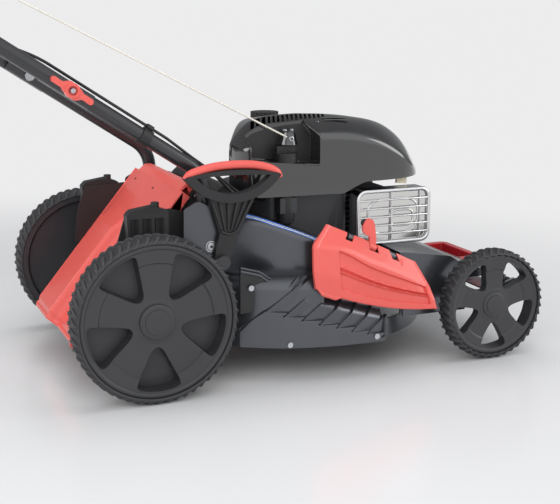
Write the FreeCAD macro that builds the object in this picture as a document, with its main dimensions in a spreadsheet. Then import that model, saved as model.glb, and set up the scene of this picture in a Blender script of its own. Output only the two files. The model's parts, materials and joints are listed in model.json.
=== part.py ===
import FreeCAD, Part
import math
import os
from types import SimpleNamespace

import Sketcher

# A walk-behind rotary mower, in millimetres: +X forward, +Y to the mower's left, +Z up. The part's origin
# lies under the middle of its box, on the ground. Most pieces are drawn in the "axle frame", whose origin is
# on the ground under the rear axle at rest, and are then moved forward by axle_x.

# ---------------------------------------------------------------- driving dimensions
SIZES = {
    # whole machine
    "overall_length": 1640, "wheel_base": 641,
    # fits
    "running_gap": 0.05, "seat_gap": 0.05, "part_gap": 0.5, "hinge_gap": 1.5,
    # wheels
    "rear_wheel_diameter": 280, "rear_tyre_width": 54, "rear_tyre_depth": 11, "rear_face_out": 276,
    "rear_web_inner": 14, "rear_web_face": 46, "rear_hub_radius": 30, "rear_hub_face": 38,
    "rear_window_inner": 42, "rear_window_outer": 119, "rear_window_narrow": 14, "rear_window_wide": 38,
    "rear_window_depth": 27, "rear_axle_radius": 7,
    "front_wheel_diameter": 205, "front_tyre_width": 38, "front_tyre_depth": 9, "front_face_out": 273.5,
    "front_web_inner": 12, "front_web_face": 32, "front_hub_radius": 24, "front_hub_face": 26,
    "front_window_inner": 32, "front_window_outer": 84, "front_window_narrow": 10, "front_window_wide": 28,
    "front_axle_radius": 6,
    "rim_ring": 9, "tyre_shoulder": 6, "cap_wall": 2.5, "wheel_windows": 5,
    # height adjustment
    "lever_pivot_ahead": 135, "lever_pivot_up": 74, "front_pivot_ahead": 67.5, "front_pivot_up": 22.5,
    "pivot_pin_radius": 6, "arm_width": 24, "arm_thickness": 8, "rear_arm_inner": 205, "front_arm_inner": 222,
    "link_radius": 4, "rear_tab": 100, "front_tab": 50, "link_y": 217.5, "open_pivot_gap": 2.4,
    "lever_inner": 195, "lever_thickness": 9.5, "loop_thickness": 19,
    # deck
    "deck_radius": 262, "crank_ahead": 330, "deck_bottom": 60, "deck_plate": 186, "deck_wall": 3,
    "deck_shoulder": 26, "neck_half_width": 155, "tunnel_top": 292, "tunnel_rear": 100, "tunnel_shoulder": 16,
    # rear chute and flap
    "chute_half_width": 155, "chute_wall": 4, "fin_half_width": 177, "fin_top": 307,
    "flap_half_width": 150, "flap_skin": 4, "flap_depth": 16, "flap_sink": 17, "flap_pivot_ahead": 112,
    "flap_pivot_up": 318, "flap_ear_y": 132, "flap_pin_radius": 4, "knuckle_radius": 9,
    # handle
    "handle_slope": 33.5, "tube_radius": 12.5, "tube_wall": 1.6, "lower_tube_y": 165, "tube_spacing": 25.4,
    "lower_tube_foot": 226, "handle_knee_ahead": 114, "handle_knee_up": 362, "fold_behind": 112,
    "lower_tube_past_fold": 45, "upper_tube_before_fold": 40, "handle_bend": 65, "knee_bend": 60,
    "grip_radius": 16, "grip_length": 250, "fold_bolt_radius": 4, "bracket_bolt_radius": 4.2,
    "bail_rod_radius": 4, "bail_reach": 115, "bail_angle": 30, "bail_half_width": 175,
    "cable_radius": 2.5, "lead_radius": 1.6, "rope_radius": 1.5, "rope_guide_below_bar": 336,
    # engine
    "cowl_wall": 3, "cowl_top": 440, "cowl_half_width": 148, "cowl_rear": 188, "cowl_nose": 590,
    "cowl_bottom": 318,
    "crank_radius": 14, "flywheel_radius": 88, "pulley_radius": 42, "fuel_cap_radius": 27,
    "oil_cap_radius": 21,
    # cutting
    "blade_length": 506, "blade_width": 50, "blade_thickness": 4, "blade_height": 80,
}

doc = FreeCAD.newDocument("Mower")
sheet = doc.addObject("Spreadsheet::Sheet", "Sizes")
for row, (alias, number) in enumerate(SIZES.items(), start=1):
    sheet.set(f"A{row}", alias)
    sheet.set(f"B{row}", str(number))
    sheet.setAlias(f"B{row}", alias)
doc.recompute()
S = SimpleNamespace(**{alias: float(sheet.get(alias)) for alias in SIZES})

V = FreeCAD.Vector
SIDES = {"right": -1, "left": 1}
pieces = {}

# the rear axle's place along the part, from the front tyre at one end of the box
axle_x = S.overall_length / 2 - S.front_wheel_diameter / 2 - S.wheel_base
rear_radius = S.rear_wheel_diameter / 2
front_radius = S.front_wheel_diameter / 2
lever_pivot = V(S.lever_pivot_ahead, 0, rear_radius + S.lever_pivot_up)
front_pivot = V(S.wheel_base + S.front_pivot_ahead, 0, front_radius + S.front_pivot_up)
crank = V(S.crank_ahead, 0, 0)


# ---------------------------------------------------------------- drawing helpers
def keep(item, label):
    """Name a finished document object as one piece of the mower."""
    item.Label = label
    pieces[label] = item
    return item


def solid(label, shape):
    """Keep a shape drawn in the axle frame as a piece."""
    item = doc.addObject("Part::Feature", label)
    item.Shape = shape.removeSplitter() if shape.ShapeType != "Compound" else shape
    item.Placement = FreeCAD.Placement(V(axle_x, 0, 0), FreeCAD.Rotation()).multiply(item.Placement)
    return keep(item, label)


def rounded(points, radius, closed=True):
    """Wire through points, its corners rounded by one radius or by a radius for each point."""
    count = len(points)
    radii = radius if isinstance(radius, (list, tuple)) else [radius] * count
    legs = []
    for index, point in enumerate(points):
        end = not closed and index in (0, count - 1)
        if end or radii[index] == 0:
            legs.append((point, point, None))
            continue
        back = (points[index - 1] - point).normalize()
        onward = (points[(index + 1) % count] - point).normalize()
        half = math.acos(max(-1.0, min(1.0, back.dot(onward)))) / 2
        reach = radii[index] / math.tan(half)
        centre = point + (back + onward).normalize() * (radii[index] / math.sin(half))
        middle = centre + (point - centre).normalize() * radii[index]
        before = point + back * reach
        after = point + onward * reach
        legs.append((before, after, Part.Arc(before, middle, after).toShape()))
    edges = []
    for index, (before, after, arc) in enumerate(legs):
        if arc is not None:
            edges.append(arc)
        if index == count - 1 and not closed:
            break
        following = legs[(index + 1) % count][0]
        if (following - after).Length > 1e-6:
            edges.append(Part.LineSegment(after, following).toShape())
    return Part.Wire(edges)


def side_prism(outline, y_from, y_to, radius=0):
    """Solid with an outline of (x, z) points, from y_from to y_to."""
    face = Part.Face(rounded([V(x, y_from, z) for x, z in outline], radius))
    return face.extrude(V(0, y_to - y_from, 0))


def plan_prism(outline, z_from, z_to, radius=0):
    """Solid with an outline of (x, y) points, from z_from to z_to."""
    face = Part.Face(rounded([V(x, y, z_from) for x, y in outline], radius))
    return face.extrude(V(0, 0, z_to - z_from))


def block(x_from, x_to, y_from, y_to, z_from, z_to):
    """Box between six planes."""
    corner = V(min(x_from, x_to), min(y_from, y_to), min(z_from, z_to))
    return Part.makeBox(abs(x_to - x_from), abs(y_to - y_from), abs(z_to - z_from), corner)


def rod(start, end, radius):
    """Cylinder from one point to another."""
    return Part.makeCylinder(radius, (end - start).Length, start, end - start)


def cross_rod(x, z, y_from, y_to, radius):
    """Cylinder that lies across the mower."""
    return rod(V(x, y_from, z), V(x, y_to, z), radius)


def tube(points, bend, outer, inner=0):
    """Round tube or bar along straight runs joined by tangent arcs."""
    path = rounded(points, bend, closed=False)
    heading = points[1] - points[0]
    bar = path.makePipeShell([Part.Wire(Part.makeCircle(outer, points[0], heading))], True, False)
    if inner:
        bore = path.makePipeShell([Part.Wire(Part.makeCircle(inner, points[0], heading))], True, False)
        bar = bar.cut(bore)
    return bar


def mirrored(shape):
    """The same shape on the other side of the mower."""
    return shape.mirror(V(0, 0, 0), V(0, 1, 0))


def both_sides(shape):
    """The shape and its mirror image as two loose solids."""
    return Part.makeCompound([shape, mirrored(shape)])


def edges_where(shape, test):
    """Edges of a shape whose middle point passes a test."""
    chosen = []
    for edge in shape.Edges:
        middle = (edge.FirstParameter + edge.LastParameter) / 2
        if test(edge.valueAt(middle)):
            chosen.append(edge)
    return chosen


def strap(start, end, width, y_from, y_to):
    """Flat bar with round ends across the (x, z) plane."""
    along = (end - start).normalize()
    across = V(-along.z, 0, along.x) * (width / 2)
    corners = [start + across, end + across, end - across, start - across]
    bar = side_prism([(p.x, p.z) for p in corners], y_from, y_to)
    for point in (start, end):
        bar = bar.fuse(cross_rod(point.x, point.z, y_from, y_to, width / 2))
    return bar


def sheet_solid(grid, offset):
    """Closed solid between a grid of points and the same grid moved by an offset vector."""
    layers = [grid, [[point + offset for point in column] for column in grid]]
    columns, rows = len(grid), len(grid[0])
    faces = []

    def quad(a, b, c, d):
        for corners in ((a, b, c), (a, c, d)):
            faces.append(Part.Face(Part.makePolygon([*corners, corners[0]])))

    for layer in layers:
        for i in range(columns - 1):
            for j in range(rows - 1):
                quad(layer[i][j], layer[i + 1][j], layer[i + 1][j + 1], layer[i][j + 1])
    outer, inner = layers
    for i in range(columns - 1):
        for j in (0, rows - 1):
            quad(outer[i][j], outer[i + 1][j], inner[i + 1][j], inner[i][j])
    for j in range(rows - 1):
        for i in (0, columns - 1):
            quad(outer[i][j], outer[i][j + 1], inner[i][j + 1], inner[i][j])
    body = Part.makeSolid(Part.makeShell(faces))
    if body.Volume < 0:
        body.reverse()
    return body


# ---------------------------------------------------------------- sketch helpers
def new_body(label):
    """PartDesign body kept as a piece."""
    return keep(doc.addObject("PartDesign::Body", label), label)


def new_sketch(body, name, role, raised=""):
    """Sketch on one of the body's own origin planes, raised by an expression."""
    drawing = body.newObject("Sketcher::SketchObject", name)
    plane = [item for item in body.Origin.OriginFeatures if item.Role == role][0]
    drawing.AttachmentSupport = [(plane, "")]
    drawing.MapMode = "FlatFace"
    if raised:
        drawing.setExpression("AttachmentOffset.Base.z", raised)
    return drawing


def pin_point(drawing, geometry, place, x_text, y_text):
    """Hold a point of the sketch at distances given by expressions."""
    for kind, axis, text in (("DistanceX", -2, x_text), ("DistanceY", -1, y_text)):
        value = float(drawing.evalExpression(text))
        if abs(value) < 1e-9:
            drawing.addConstraint(Sketcher.Constraint("PointOnObject", geometry, place, axis))
        elif value > 0:
            index = drawing.addConstraint(Sketcher.Constraint(kind, -1, 1, geometry, place, value))
            drawing.setExpression(f"Constraints[{index}]", text)
        else:
            index = drawing.addConstraint(Sketcher.Constraint(kind, geometry, place, -1, 1, -value))
            drawing.setExpression(f"Constraints[{index}]", f"-({text})")


def polygon(drawing, corners):
    """Closed polygon whose corners are pairs of expressions."""
    values = [V(float(drawing.evalExpression(x)), float(drawing.evalExpression(y)), 0) for x, y in corners]
    count = len(corners)
    for index in range(count):
        drawing.addGeometry(Part.LineSegment(values[index], values[(index + 1) % count]))
    for index in range(count):
        drawing.addConstraint(Sketcher.Constraint("Coincident", index, 2, (index + 1) % count, 1))
    for index, (x_text, y_text) in enumerate(corners):
        pin_point(drawing, index, 1, x_text, y_text)


def turned(body, name, corners):
    """Add a revolved solid to a body: corners are (radius, height) expressions about the body's Z axis."""
    drawing = new_sketch(body, f"{name}_profile", "XZ_Plane")
    polygon(drawing, corners)
    feature = body.newObject("PartDesign::Revolution", name)
    feature.Profile = drawing
    feature.ReferenceAxis = (drawing, ["V_Axis"])
    feature.Angle = 360
    return feature


# ---------------------------------------------------------------- wheels
def stand(body, side, x, face_out, width, z):
    """Set a wheel piece, drawn with its axis on Z and its outer face up, on its side of the mower."""
    sign = SIDES[side]
    turn = FreeCAD.Rotation(V(1, 0, 0), -90 * sign)
    body.Placement = FreeCAD.Placement(V(axle_x + x, sign * (face_out - width), z), turn)


def wheel(end, side, x, z):
    """Rim with its windows, tyre and hub cap of one wheel."""
    size = f"Sizes.{end}_"
    outer = f"({size}wheel_diameter / 2)"
    seat = f"({outer} - {size}tyre_depth)"
    width = f"{size}tyre_width"
    bore = f"({size}axle_radius + Sizes.running_gap)"
    well = f"({seat} - Sizes.seat_gap - Sizes.rim_ring)"
    rim = new_body(f"{end}_{side}_rim")
    turned(rim, f"{end}_{side}_rim_turning", [
        (bore, "4"), (f"{size}hub_radius", "4"), (f"{size}hub_radius", f"{size}web_inner"),
        (well, f"{size}web_inner"), (well, "3"), (f"{seat} - Sizes.seat_gap", "3"),
        (f"{seat} - Sizes.seat_gap", f"{width} - 3"), (well, f"{width} - 3"), (well, f"{size}web_face"),
        (f"{size}hub_radius + Sizes.seat_gap", f"{size}web_face"),
        (f"{size}hub_radius + Sizes.seat_gap", f"{size}hub_face"), (bore, f"{size}hub_face")])
    window = new_sketch(rim, f"{end}_{side}_window", "XY_Plane", f"{size}web_face")
    narrow, wide = f"{size}window_narrow", f"{size}window_wide"
    near, far = f"{size}window_inner", f"{size}window_outer"
    polygon(window, [
        (near, f"-{narrow} * 0.6"), (f"{near} + {narrow}", f"-{narrow}"), (f"{far} - {narrow}", f"-{wide}"),
        (far, f"-{wide} * 0.7"), (far, f"{wide} * 0.7"), (f"{far} - {narrow}", wide),
        (f"{near} + {narrow}", narrow), (near, f"{narrow} * 0.6")])
    cut = rim.newObject("PartDesign::Pocket", f"{end}_{side}_window_cut")
    cut.Profile = window
    cut.setExpression("Length", f"{size}window_depth" if end == "rear" else f"{size}web_face")
    ring = rim.newObject("PartDesign::PolarPattern", f"{end}_{side}_windows")
    ring.Originals = [cut]
    ring.Axis = (window, ["N_Axis"])
    ring.Angle = 360
    ring.setExpression("Occurrences", "Sizes.wheel_windows")
    rim.Tip = ring
    tyre = new_body(f"{end}_{side}_tyre")
    turned(tyre, f"{end}_{side}_tyre_turning", [
        (seat, "2"), (f"{outer} - Sizes.tyre_shoulder", "0"), (outer, "Sizes.tyre_shoulder"),
        (outer, f"{width} - Sizes.tyre_shoulder"), (f"{outer} - Sizes.tyre_shoulder", width),
        (seat, f"{width} - 2")])
    cap = new_body(f"{end}_{side}_hub_cap")
    turned(cap, f"{end}_{side}_hub_cap_turning", [
        ("0", f"{width} - 2"), ("0", f"{width} - 2 - Sizes.cap_wall"),
        (f"{size}hub_radius - Sizes.cap_wall", f"{width} - 2 - Sizes.cap_wall"),
        (f"{size}hub_radius - Sizes.cap_wall", f"{size}hub_face"), (f"{size}hub_radius", f"{size}hub_face"),
        (f"{size}hub_radius", f"{width} - 2")])
    for body in (rim, tyre, cap):
        stand(body, side, x, getattr(S, f"{end}_face_out"), getattr(S, f"{end}_tyre_width"), z)
    # a window points straight down
    down = FreeCAD.Rotation(V(0, 0, 1), 90 * SIDES[side])
    rim.Placement = rim.Placement.multiply(FreeCAD.Placement(V(0, 0, 0), down))


for side in SIDES:
    wheel("rear", side, 0, rear_radius)
    wheel("front", side, S.wheel_base, front_radius)

# ---------------------------------------------------------------- axles and height adjustment
rear_axle_end = S.rear_face_out - S.rear_tyre_width + S.rear_hub_face + 6
front_axle_end = S.front_face_out - S.front_tyre_width + S.front_hub_face + 5
rear_spindle = V(0, 0, rear_radius)
front_spindle = V(S.wheel_base, 0, front_radius)
pin_inner = S.lever_inner - 11
arm_outer = S.rear_arm_inner + S.arm_thickness

rear_link_pin = lever_pivot + V(0, 0, S.rear_tab)
rear_axle = cross_rod(0, rear_radius, -rear_axle_end, rear_axle_end, S.rear_axle_radius)
for sign in SIDES.values():
    rear_axle = rear_axle.fuse(
        strap(rear_spindle, lever_pivot, S.arm_width, sign * S.rear_arm_inner, sign * arm_outer))
    rear_axle = rear_axle.fuse(
        cross_rod(lever_pivot.x, lever_pivot.z, sign * pin_inner, sign * arm_outer, S.pivot_pin_radius))
rear_axle = rear_axle.fuse(
    strap(lever_pivot, rear_link_pin, S.arm_width * 0.7, S.rear_arm_inner, arm_outer))
rear_axle = rear_axle.cut(cross_rod(
    rear_link_pin.x, rear_link_pin.z, S.rear_arm_inner - 1, arm_outer + 1, S.link_radius + S.running_gap))
solid("rear_axle", rear_axle)

front_arm_outer = S.front_arm_inner + S.arm_thickness
cover_half_width = S.front_arm_inner - 6
front_link_pin = front_pivot + V(0, 0, S.front_tab)
front_axle = cross_rod(
    S.wheel_base, front_radius, -front_axle_end, front_axle_end, S.front_axle_radius)
for sign in SIDES.values():
    front_axle = front_axle.fuse(
        strap(front_spindle, front_pivot, S.arm_width, sign * S.front_arm_inner, sign * front_arm_outer))
    front_axle = front_axle.fuse(cross_rod(
        front_pivot.x, front_pivot.z, sign * (cover_half_width - 8), sign * front_arm_outer,
        S.pivot_pin_radius))
front_axle = front_axle.fuse(
    strap(front_pivot, front_link_pin, S.arm_width * 0.8, S.front_arm_inner, front_arm_outer))
front_axle = front_axle.cut(cross_rod(
    front_link_pin.x, front_link_pin.z, S.front_arm_inner - 1, front_arm_outer + 1,
    S.link_radius + S.open_pivot_gap))
solid("front_axle", front_axle)

link_line = [V(p.x, S.link_y, p.z) for p in (rear_link_pin, front_link_pin)]
height_link = rod(link_line[0], link_line[1], S.link_radius)
for point in link_line:
    height_link = height_link.fuse(Part.makeSphere(S.link_radius, point))
rear_end = link_line[0] - V(0, S.link_y - S.rear_arm_inner, 0)
front_end = link_line[1] + V(0, front_arm_outer - S.link_y, 0)
height_link = height_link.fuse(rod(link_line[0], rear_end, S.link_radius))
height_link = height_link.fuse(rod(link_line[1], front_end, S.link_radius))
solid("height_link", height_link)

# the lever: a hub, a bent stalk, a fan-shaped neck and a lens-shaped hand loop with a coloured arch on top
lever_in = -S.lever_inner
lever_out = -(S.lever_inner + S.lever_thickness)
loop_out = -(S.lever_inner + S.loop_thickness)
pivot_x, pivot_z = lever_pivot.x, lever_pivot.z


def lens(inset_x, top_drop, bottom_rise):
    """Eye-shaped outline of the hand loop, drawn in by the given amounts, as a face."""
    rear = V(68 + inset_x, lever_in, 361)
    front = V(240 - inset_x, lever_in, 360)
    top = V(160, lever_in, 384 - top_drop)
    bottom = V(152, lever_in, 316 + bottom_rise)
    arcs = [Part.Arc(rear, top, front), Part.Arc(front, bottom, rear)]
    return Part.Face(Part.Wire([arc.toShape() for arc in arcs]))


loop_depth = V(0, loop_out - lever_in, 0)
loop_outer = lens(0, 0, 0).extrude(loop_depth)
loop_gap = lens(20, 21, 15).extrude(loop_depth)
arch_floor = lens(-6, 12, -60).extrude(loop_depth)
grip = loop_outer.cut(arch_floor).common(block(60, 250, lever_in - 2.5, loop_out + 2.5, 330, 400))
stalk_outline = [(109, 338), (131, 262), (124, 236), (pivot_x - 13, pivot_z), (pivot_x + 13, pivot_z),
                 (156, 236), (165, 262), (203, 338)]
stalk = side_prism(stalk_outline, lever_in, lever_out, [0, 8, 8, 0, 0, 8, 8, 0])
stalk = stalk.cut(loop_gap).cut(block(60, 250, lever_in, loop_out, 352, 420))
lever = loop_outer.common(arch_floor).cut(loop_gap)
lever = lever.fuse(stalk)
lever = lever.fuse(cross_rod(pivot_x, pivot_z, lever_in, lever_out, 15))
lever = lever.cut(cross_rod(
    pivot_x, pivot_z, lever_in + 1, lever_out - 1, S.pivot_pin_radius + S.seat_gap))
solid("height_lever", lever)
solid("lever_grip", grip)

# ---------------------------------------------------------------- deck
# the tunnel climbs from the blade bowl to the rear: station ahead of the rear axle, half width, top
TUNNEL = [(S.tunnel_rear, 152, S.tunnel_top), (150, 152, S.tunnel_top - 1), (206, 176, 282), (262, 206, 262),
          (340, 218, 230), (424, 186, S.deck_plate - 12)]


def tunnel_section(x, half_width, top, shoulder, bottom):
    """Cross-section of the tunnel: upright walls with a rounded shoulder on each side."""
    corners = [V(x, -half_width, bottom), V(x, -half_width, top),
               V(x, half_width, top), V(x, half_width, bottom)]
    return rounded(corners, [0, shoulder, shoulder, 0])


def deck_volume(inset, bottom):
    """Outer or inner volume of the deck: blade bowl, and the tunnel that climbs to the rear."""
    radius = S.deck_radius - inset
    plate = S.deck_plate - inset
    rear = S.tunnel_rear if inset <= 0 else S.tunnel_rear - 1
    half = math.sqrt(radius ** 2 - (S.crank_ahead - rear) ** 2)
    front = V(S.crank_ahead + radius, 0, bottom)
    ring = Part.Wire([
        Part.LineSegment(V(rear, half, bottom), V(rear, -half, bottom)).toShape(),
        Part.Arc(V(rear, -half, bottom), front, V(rear, half, bottom)).toShape()])
    bowl = Part.Face(ring).extrude(V(0, 0, plate - bottom))
    bowl = bowl.makeFillet(S.deck_shoulder - inset, edges_where(
        bowl, lambda p: abs(p.z - plate) < 0.01 and p.x > rear + 5))
    shoulder = S.tunnel_shoulder - inset
    sections = [tunnel_section(x, width - inset, top - inset, shoulder, 110) for x, width, top in TUNNEL]
    tunnel = Part.makeLoft(sections, True, False)
    if inset > 0:
        tunnel = tunnel.fuse(block(rear, rear + 1.5, -TUNNEL[0][1] + inset, TUNNEL[0][1] - inset, 112, 240))
    return bowl.fuse(tunnel)


def on_top(shape, point):
    """True where nothing of the shape lies just above a point of its edge."""
    return not shape.isInside(point + V(0, -math.copysign(0.5, point.y), 0.5), 1e-3, True)


outer_deck = deck_volume(0, S.deck_bottom)
inner_deck = deck_volume(S.deck_wall, S.deck_bottom - 1)
discharge = block(300, 470, -S.deck_radius - 5, -160, 92, 172)
deck = outer_deck.cut(inner_deck).cut(discharge)
deck = deck.cut(rod(V(S.crank_ahead, 0, 100), V(S.crank_ahead, 0, 250), 32))

# ---------------------------------------------------------------- rear chute with its fluted cheeks
wall = S.chute_wall
flap_top = V(84, 0, 330)
flap_foot = V(-112, 0, 93)
flap_down = (flap_foot - flap_top).normalize()
flap_inward = V(-flap_down.z, 0, flap_down.x)
chute_rear_offset = S.flap_skin + S.flap_sink + 4


def behind_flap(offset, margin):
    """Half space, as a big block, on the rear side of a plane that lies inward of the flap's outer face."""
    start = flap_top + flap_inward * offset - flap_down * 400
    end = flap_foot + flap_inward * offset + flap_down * 400
    away = flap_inward * -900
    return side_prism([(p.x, p.z) for p in (start, end, end + away, start + away)], -margin, margin)


chute_foot, chute_floor = 112, rear_radius + 48
chute_front, tunnel_top = S.tunnel_rear - 0.1, S.tunnel_top
chute_outline = [(chute_front, chute_foot), (chute_front, tunnel_top), (60, 303), (-18, 300),
                 (-34, 250), (-40, chute_floor + 6), (40, chute_floor)]
chute_inner = [(S.tunnel_rear + 1, chute_foot + wall), (S.tunnel_rear + 1, tunnel_top - wall),
               (60, 303 - wall), (-60, 330), (-60, chute_floor + 8 + wall), (40, chute_floor + wall)]
chute = side_prism(chute_outline, -S.chute_half_width, S.chute_half_width)
chute = chute.cut(side_prism(chute_inner, wall - S.chute_half_width, S.chute_half_width - wall))
chute = chute.cut(behind_flap(chute_rear_offset, S.chute_half_width - wall))
fin_outline = [(50, 196), (-20, 196), (-22, S.fin_top - 8), (-14, S.fin_top), (26, S.fin_top + 6),
               (50, S.fin_top - 3)]
fin = side_prism(fin_outline, -S.chute_half_width, -S.fin_half_width, [0, 0, 4, 4, 6, 3])
flute_y = -S.fin_half_width - 6
for flute in range(3):
    middle = -8 + flute * 21
    fin = fin.cut(rod(V(middle, flute_y, 190), V(middle, flute_y, S.fin_top - 14), 10.5))
knob_foot = V(30, -S.chute_half_width - 9, S.fin_top)
fin = fin.fuse(rod(knob_foot, knob_foot + V(0, 0, 11), 7))
chute = chute.fuse([fin, mirrored(fin)])
ear_out = S.flap_ear_y + wall
hinge_x, hinge_z = S.flap_pivot_ahead, S.flap_pivot_up
ear = cross_rod(hinge_x, hinge_z, -ear_out, -S.flap_ear_y, 12)
ear = ear.fuse(side_prism(
    [(84, 290), (126, 286), (hinge_x + 12, hinge_z), (hinge_x - 12, hinge_z)], -ear_out, -S.flap_ear_y))
ear = ear.cut(outer_deck)
chute = chute.fuse([ear, mirrored(ear)])
chute = chute.cut(cross_rod(hinge_x, hinge_z, -ear_out - 5, ear_out + 5, S.flap_pin_radius + S.seat_gap))
solid("rear_chute", chute)

# ---------------------------------------------------------------- rear flap on its pin
flap_y = S.flap_half_width
skin = V(flap_inward.x, 0, flap_inward.z) * S.flap_skin
lip = V(-115, 0, 52)
flap_length = (flap_foot - flap_top).Length


def flap_point(run, sink, y):
    """Point of the flap's outer face, some way down its slope and sunk toward the chute."""
    point = flap_top + flap_down * run + flap_inward * sink
    return V(point.x, y, point.z)


# the lower middle of the flap is sunk between its two side rims
flap_grid = []
for y_share, sunk in ((-1, 0), (-0.93, 0), (-0.4, 1), (0.4, 1), (0.93, 0), (1, 0)):
    y = y_share * flap_y
    sink = sunk * S.flap_sink
    flap_grid.append([flap_point(0, 0, y), flap_point(100, 0, y), flap_point(170, sink, y),
                      flap_point(flap_length, sink, y), V(lip.x + sink, y, lip.z)])
flap = sheet_solid(flap_grid, skin)
rim_inner_top = flap_top + flap_inward * (S.flap_skin + S.flap_depth) + flap_down * 34
rim_inner_foot = flap_foot + flap_inward * (S.flap_skin + S.flap_depth)
flank = side_prism(
    [(flap_top.x, flap_top.z), (flap_foot.x, flap_foot.z), (lip.x, lip.z), (lip.x + 12, lip.z),
     (rim_inner_foot.x, rim_inner_foot.z), (rim_inner_top.x, rim_inner_top.z)], -flap_y, 3 - flap_y)
flap = flap.fuse([flank, mirrored(flank)])
ridge = side_prism(
    [(flap_top.x, flap_top.z), (96, 340), (112, 339), (118, 334), (116, 330), (108, 334), (98, 335),
     ((flap_top + skin).x, (flap_top + skin).z)], -flap_y + 20, flap_y - 20)
flap = flap.fuse(ridge)
barrel_span = [(-126, -84), (-21, 21), (84, 126)]
for start, end in barrel_span:
    barrel = cross_rod(hinge_x, hinge_z, start, end, S.knuckle_radius)
    web = side_prism([(98, 335), (115, 335), (hinge_x + 7, hinge_z), (hinge_x - 7, hinge_z)], start, end)
    flap = flap.fuse([barrel, web])
pin_hole = cross_rod(hinge_x, hinge_z, -flap_y, flap_y, S.flap_pin_radius + S.running_gap)
flap = flap.cut(pin_hole)
solid("rear_flap", flap)
pin_reach = ear_out + 3
solid("rear_flap_pin", cross_rod(hinge_x, hinge_z, -pin_reach, pin_reach, S.flap_pin_radius))
spring_inner = S.flap_pin_radius + 0.6
springs = cross_rod(hinge_x, hinge_z, -78, -40, spring_inner + 2.2)
springs = springs.cut(cross_rod(hinge_x, hinge_z, -79, -39, spring_inner))
springs = springs.fuse(rod(V(hinge_x + 5, -76, hinge_z - 1), V(hinge_x + 5, -76, S.tunnel_top + 0.3), 1.1))
solid("rear_flap_springs", both_sides(springs))

# the cover that bridges the gap between the flap's hinge and the engine
bridge_outer = [(148, 292.4), (150, 322), (164, 334), (184, 328), (197, 308), (203, 285.4)]
bridge = side_prism(bridge_outer, -132, 132, [0, 10, 10, 10, 8, 0])
bridge_inner = [(151, 280), (153, 321), (165, 331), (182, 325), (193, 308), (199, 275)]
bridge = bridge.cut(side_prism(bridge_inner, -129, 129, [0, 7, 7, 7, 5, 0]))
bridge = bridge.cut(outer_deck)
solid("rear_bridge", bridge)

# ---------------------------------------------------------------- side skirt, discharge flap and its latch
# places across the mower are counted from the deck's side
side_y = -S.deck_radius
skirt_plan = [(163, side_y + 57), (163, side_y + 49), (245, side_y + 8), (330, side_y - 10.5),
              (412, side_y - 13), (424, side_y + 4), (424, side_y + 62), (300, side_y + 112)]
skirt_inner = [(100, side_y + 59), (163, side_y + 52), (246, side_y + 11), (330, side_y - 7.5),
               (411, side_y - 10), (421, side_y + 5), (421, side_y + 162), (200, side_y + 162)]
skirt_side = [(150, 203), (196, 199), (206, 176), (262, 160), (300, 138), (424, 104), (440, 60), (410, 55),
              (165, 55), (150, 62)]
skirt = plan_prism(skirt_plan, 55, 206).cut(plan_prism(skirt_inner, 50, 210))
skirt = skirt.common(side_prism(skirt_side, side_y - 38, side_y + 112))
deck_room = deck_volume(-S.part_gap, S.deck_bottom - 20)
skirt = skirt.cut(deck_room)
step = plan_prism([(296, side_y - 6.5), (330, side_y - 12.5), (411, side_y - 13.9), (411, side_y - 9),
                   (330, side_y - 6)], 58, 88)
skirt = skirt.fuse(step.cut(deck_room))
solid("side_skirt", skirt)

hinge_rear = V(322, side_y + 36, 262)
hinge_front = V(486, side_y + 25, 184)
hinge_line = (hinge_front - hinge_rear).normalize()


# the discharge flap hangs from its top edge, folds outward and drops to its foot: rear, middle and front
flap_grid = [
    [V(322, side_y + 31, 259), V(286, side_y - 2, 240), V(284, side_y - 9.5, 196), V(286, side_y - 12, 152)],
    [V(409, side_y + 22, 219), V(400, side_y - 2, 200), V(402, side_y - 9.5, 156), V(404, side_y - 12, 115)],
    [V(490, side_y + 18, 180), V(508, side_y + 2, 148), V(514, side_y - 8, 126), V(516, side_y - 12, 106)]]
side_flap = sheet_solid(flap_grid, V(0, 4, -1.2))
lugs = []
lug_stations = (24, 58, 112, 146)
for station in lug_stations:
    start = hinge_rear + hinge_line * station
    lug = rod(start, start + hinge_line * 12, 7)
    lugs.append(lug)
    lugs.append(rod(start + hinge_line * 6, start + hinge_line * 6 + V(-2, -16, -5), 4.5))
side_flap = side_flap.fuse(lugs)


def on_hinge(station):
    """Point of the discharge flap's hinge line."""
    return hinge_rear + hinge_line * station


side_pin_radius = 3
pin_start, pin_end = on_hinge(4), on_hinge(178)
latch_from, latch_to = 84, 99
ear_spans = [(40, 52), (128, 140)]
for start, end in ear_spans + [(latch_from, latch_to)]:
    side_flap = side_flap.cut(rod(on_hinge(start - S.hinge_gap), on_hinge(end + S.hinge_gap), 8.6))
side_flap = side_flap.cut(rod(pin_start, pin_end, side_pin_radius + S.running_gap))
solid("side_flap", side_flap)
solid("side_flap_pin", rod(pin_start, pin_end, side_pin_radius))

latch = rod(on_hinge(latch_from), on_hinge(latch_to), 7)
latch_root_rear, latch_root_front = on_hinge(latch_from), on_hinge(latch_to)
latch_tab = side_prism(
    [(latch_root_rear.x, latch_root_rear.z), (latch_root_rear.x + 2, latch_root_rear.z + 38),
     (latch_root_front.x + 2, latch_root_front.z + 44), (latch_root_front.x, latch_root_front.z)],
    latch_root_rear.y - 3, latch_root_rear.y + 3, [0, 4, 4, 0])
latch = latch.fuse(latch_tab)
latch = latch.cut(rod(pin_start, pin_end, side_pin_radius + S.running_gap))
solid("side_flap_latch", latch)

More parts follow.
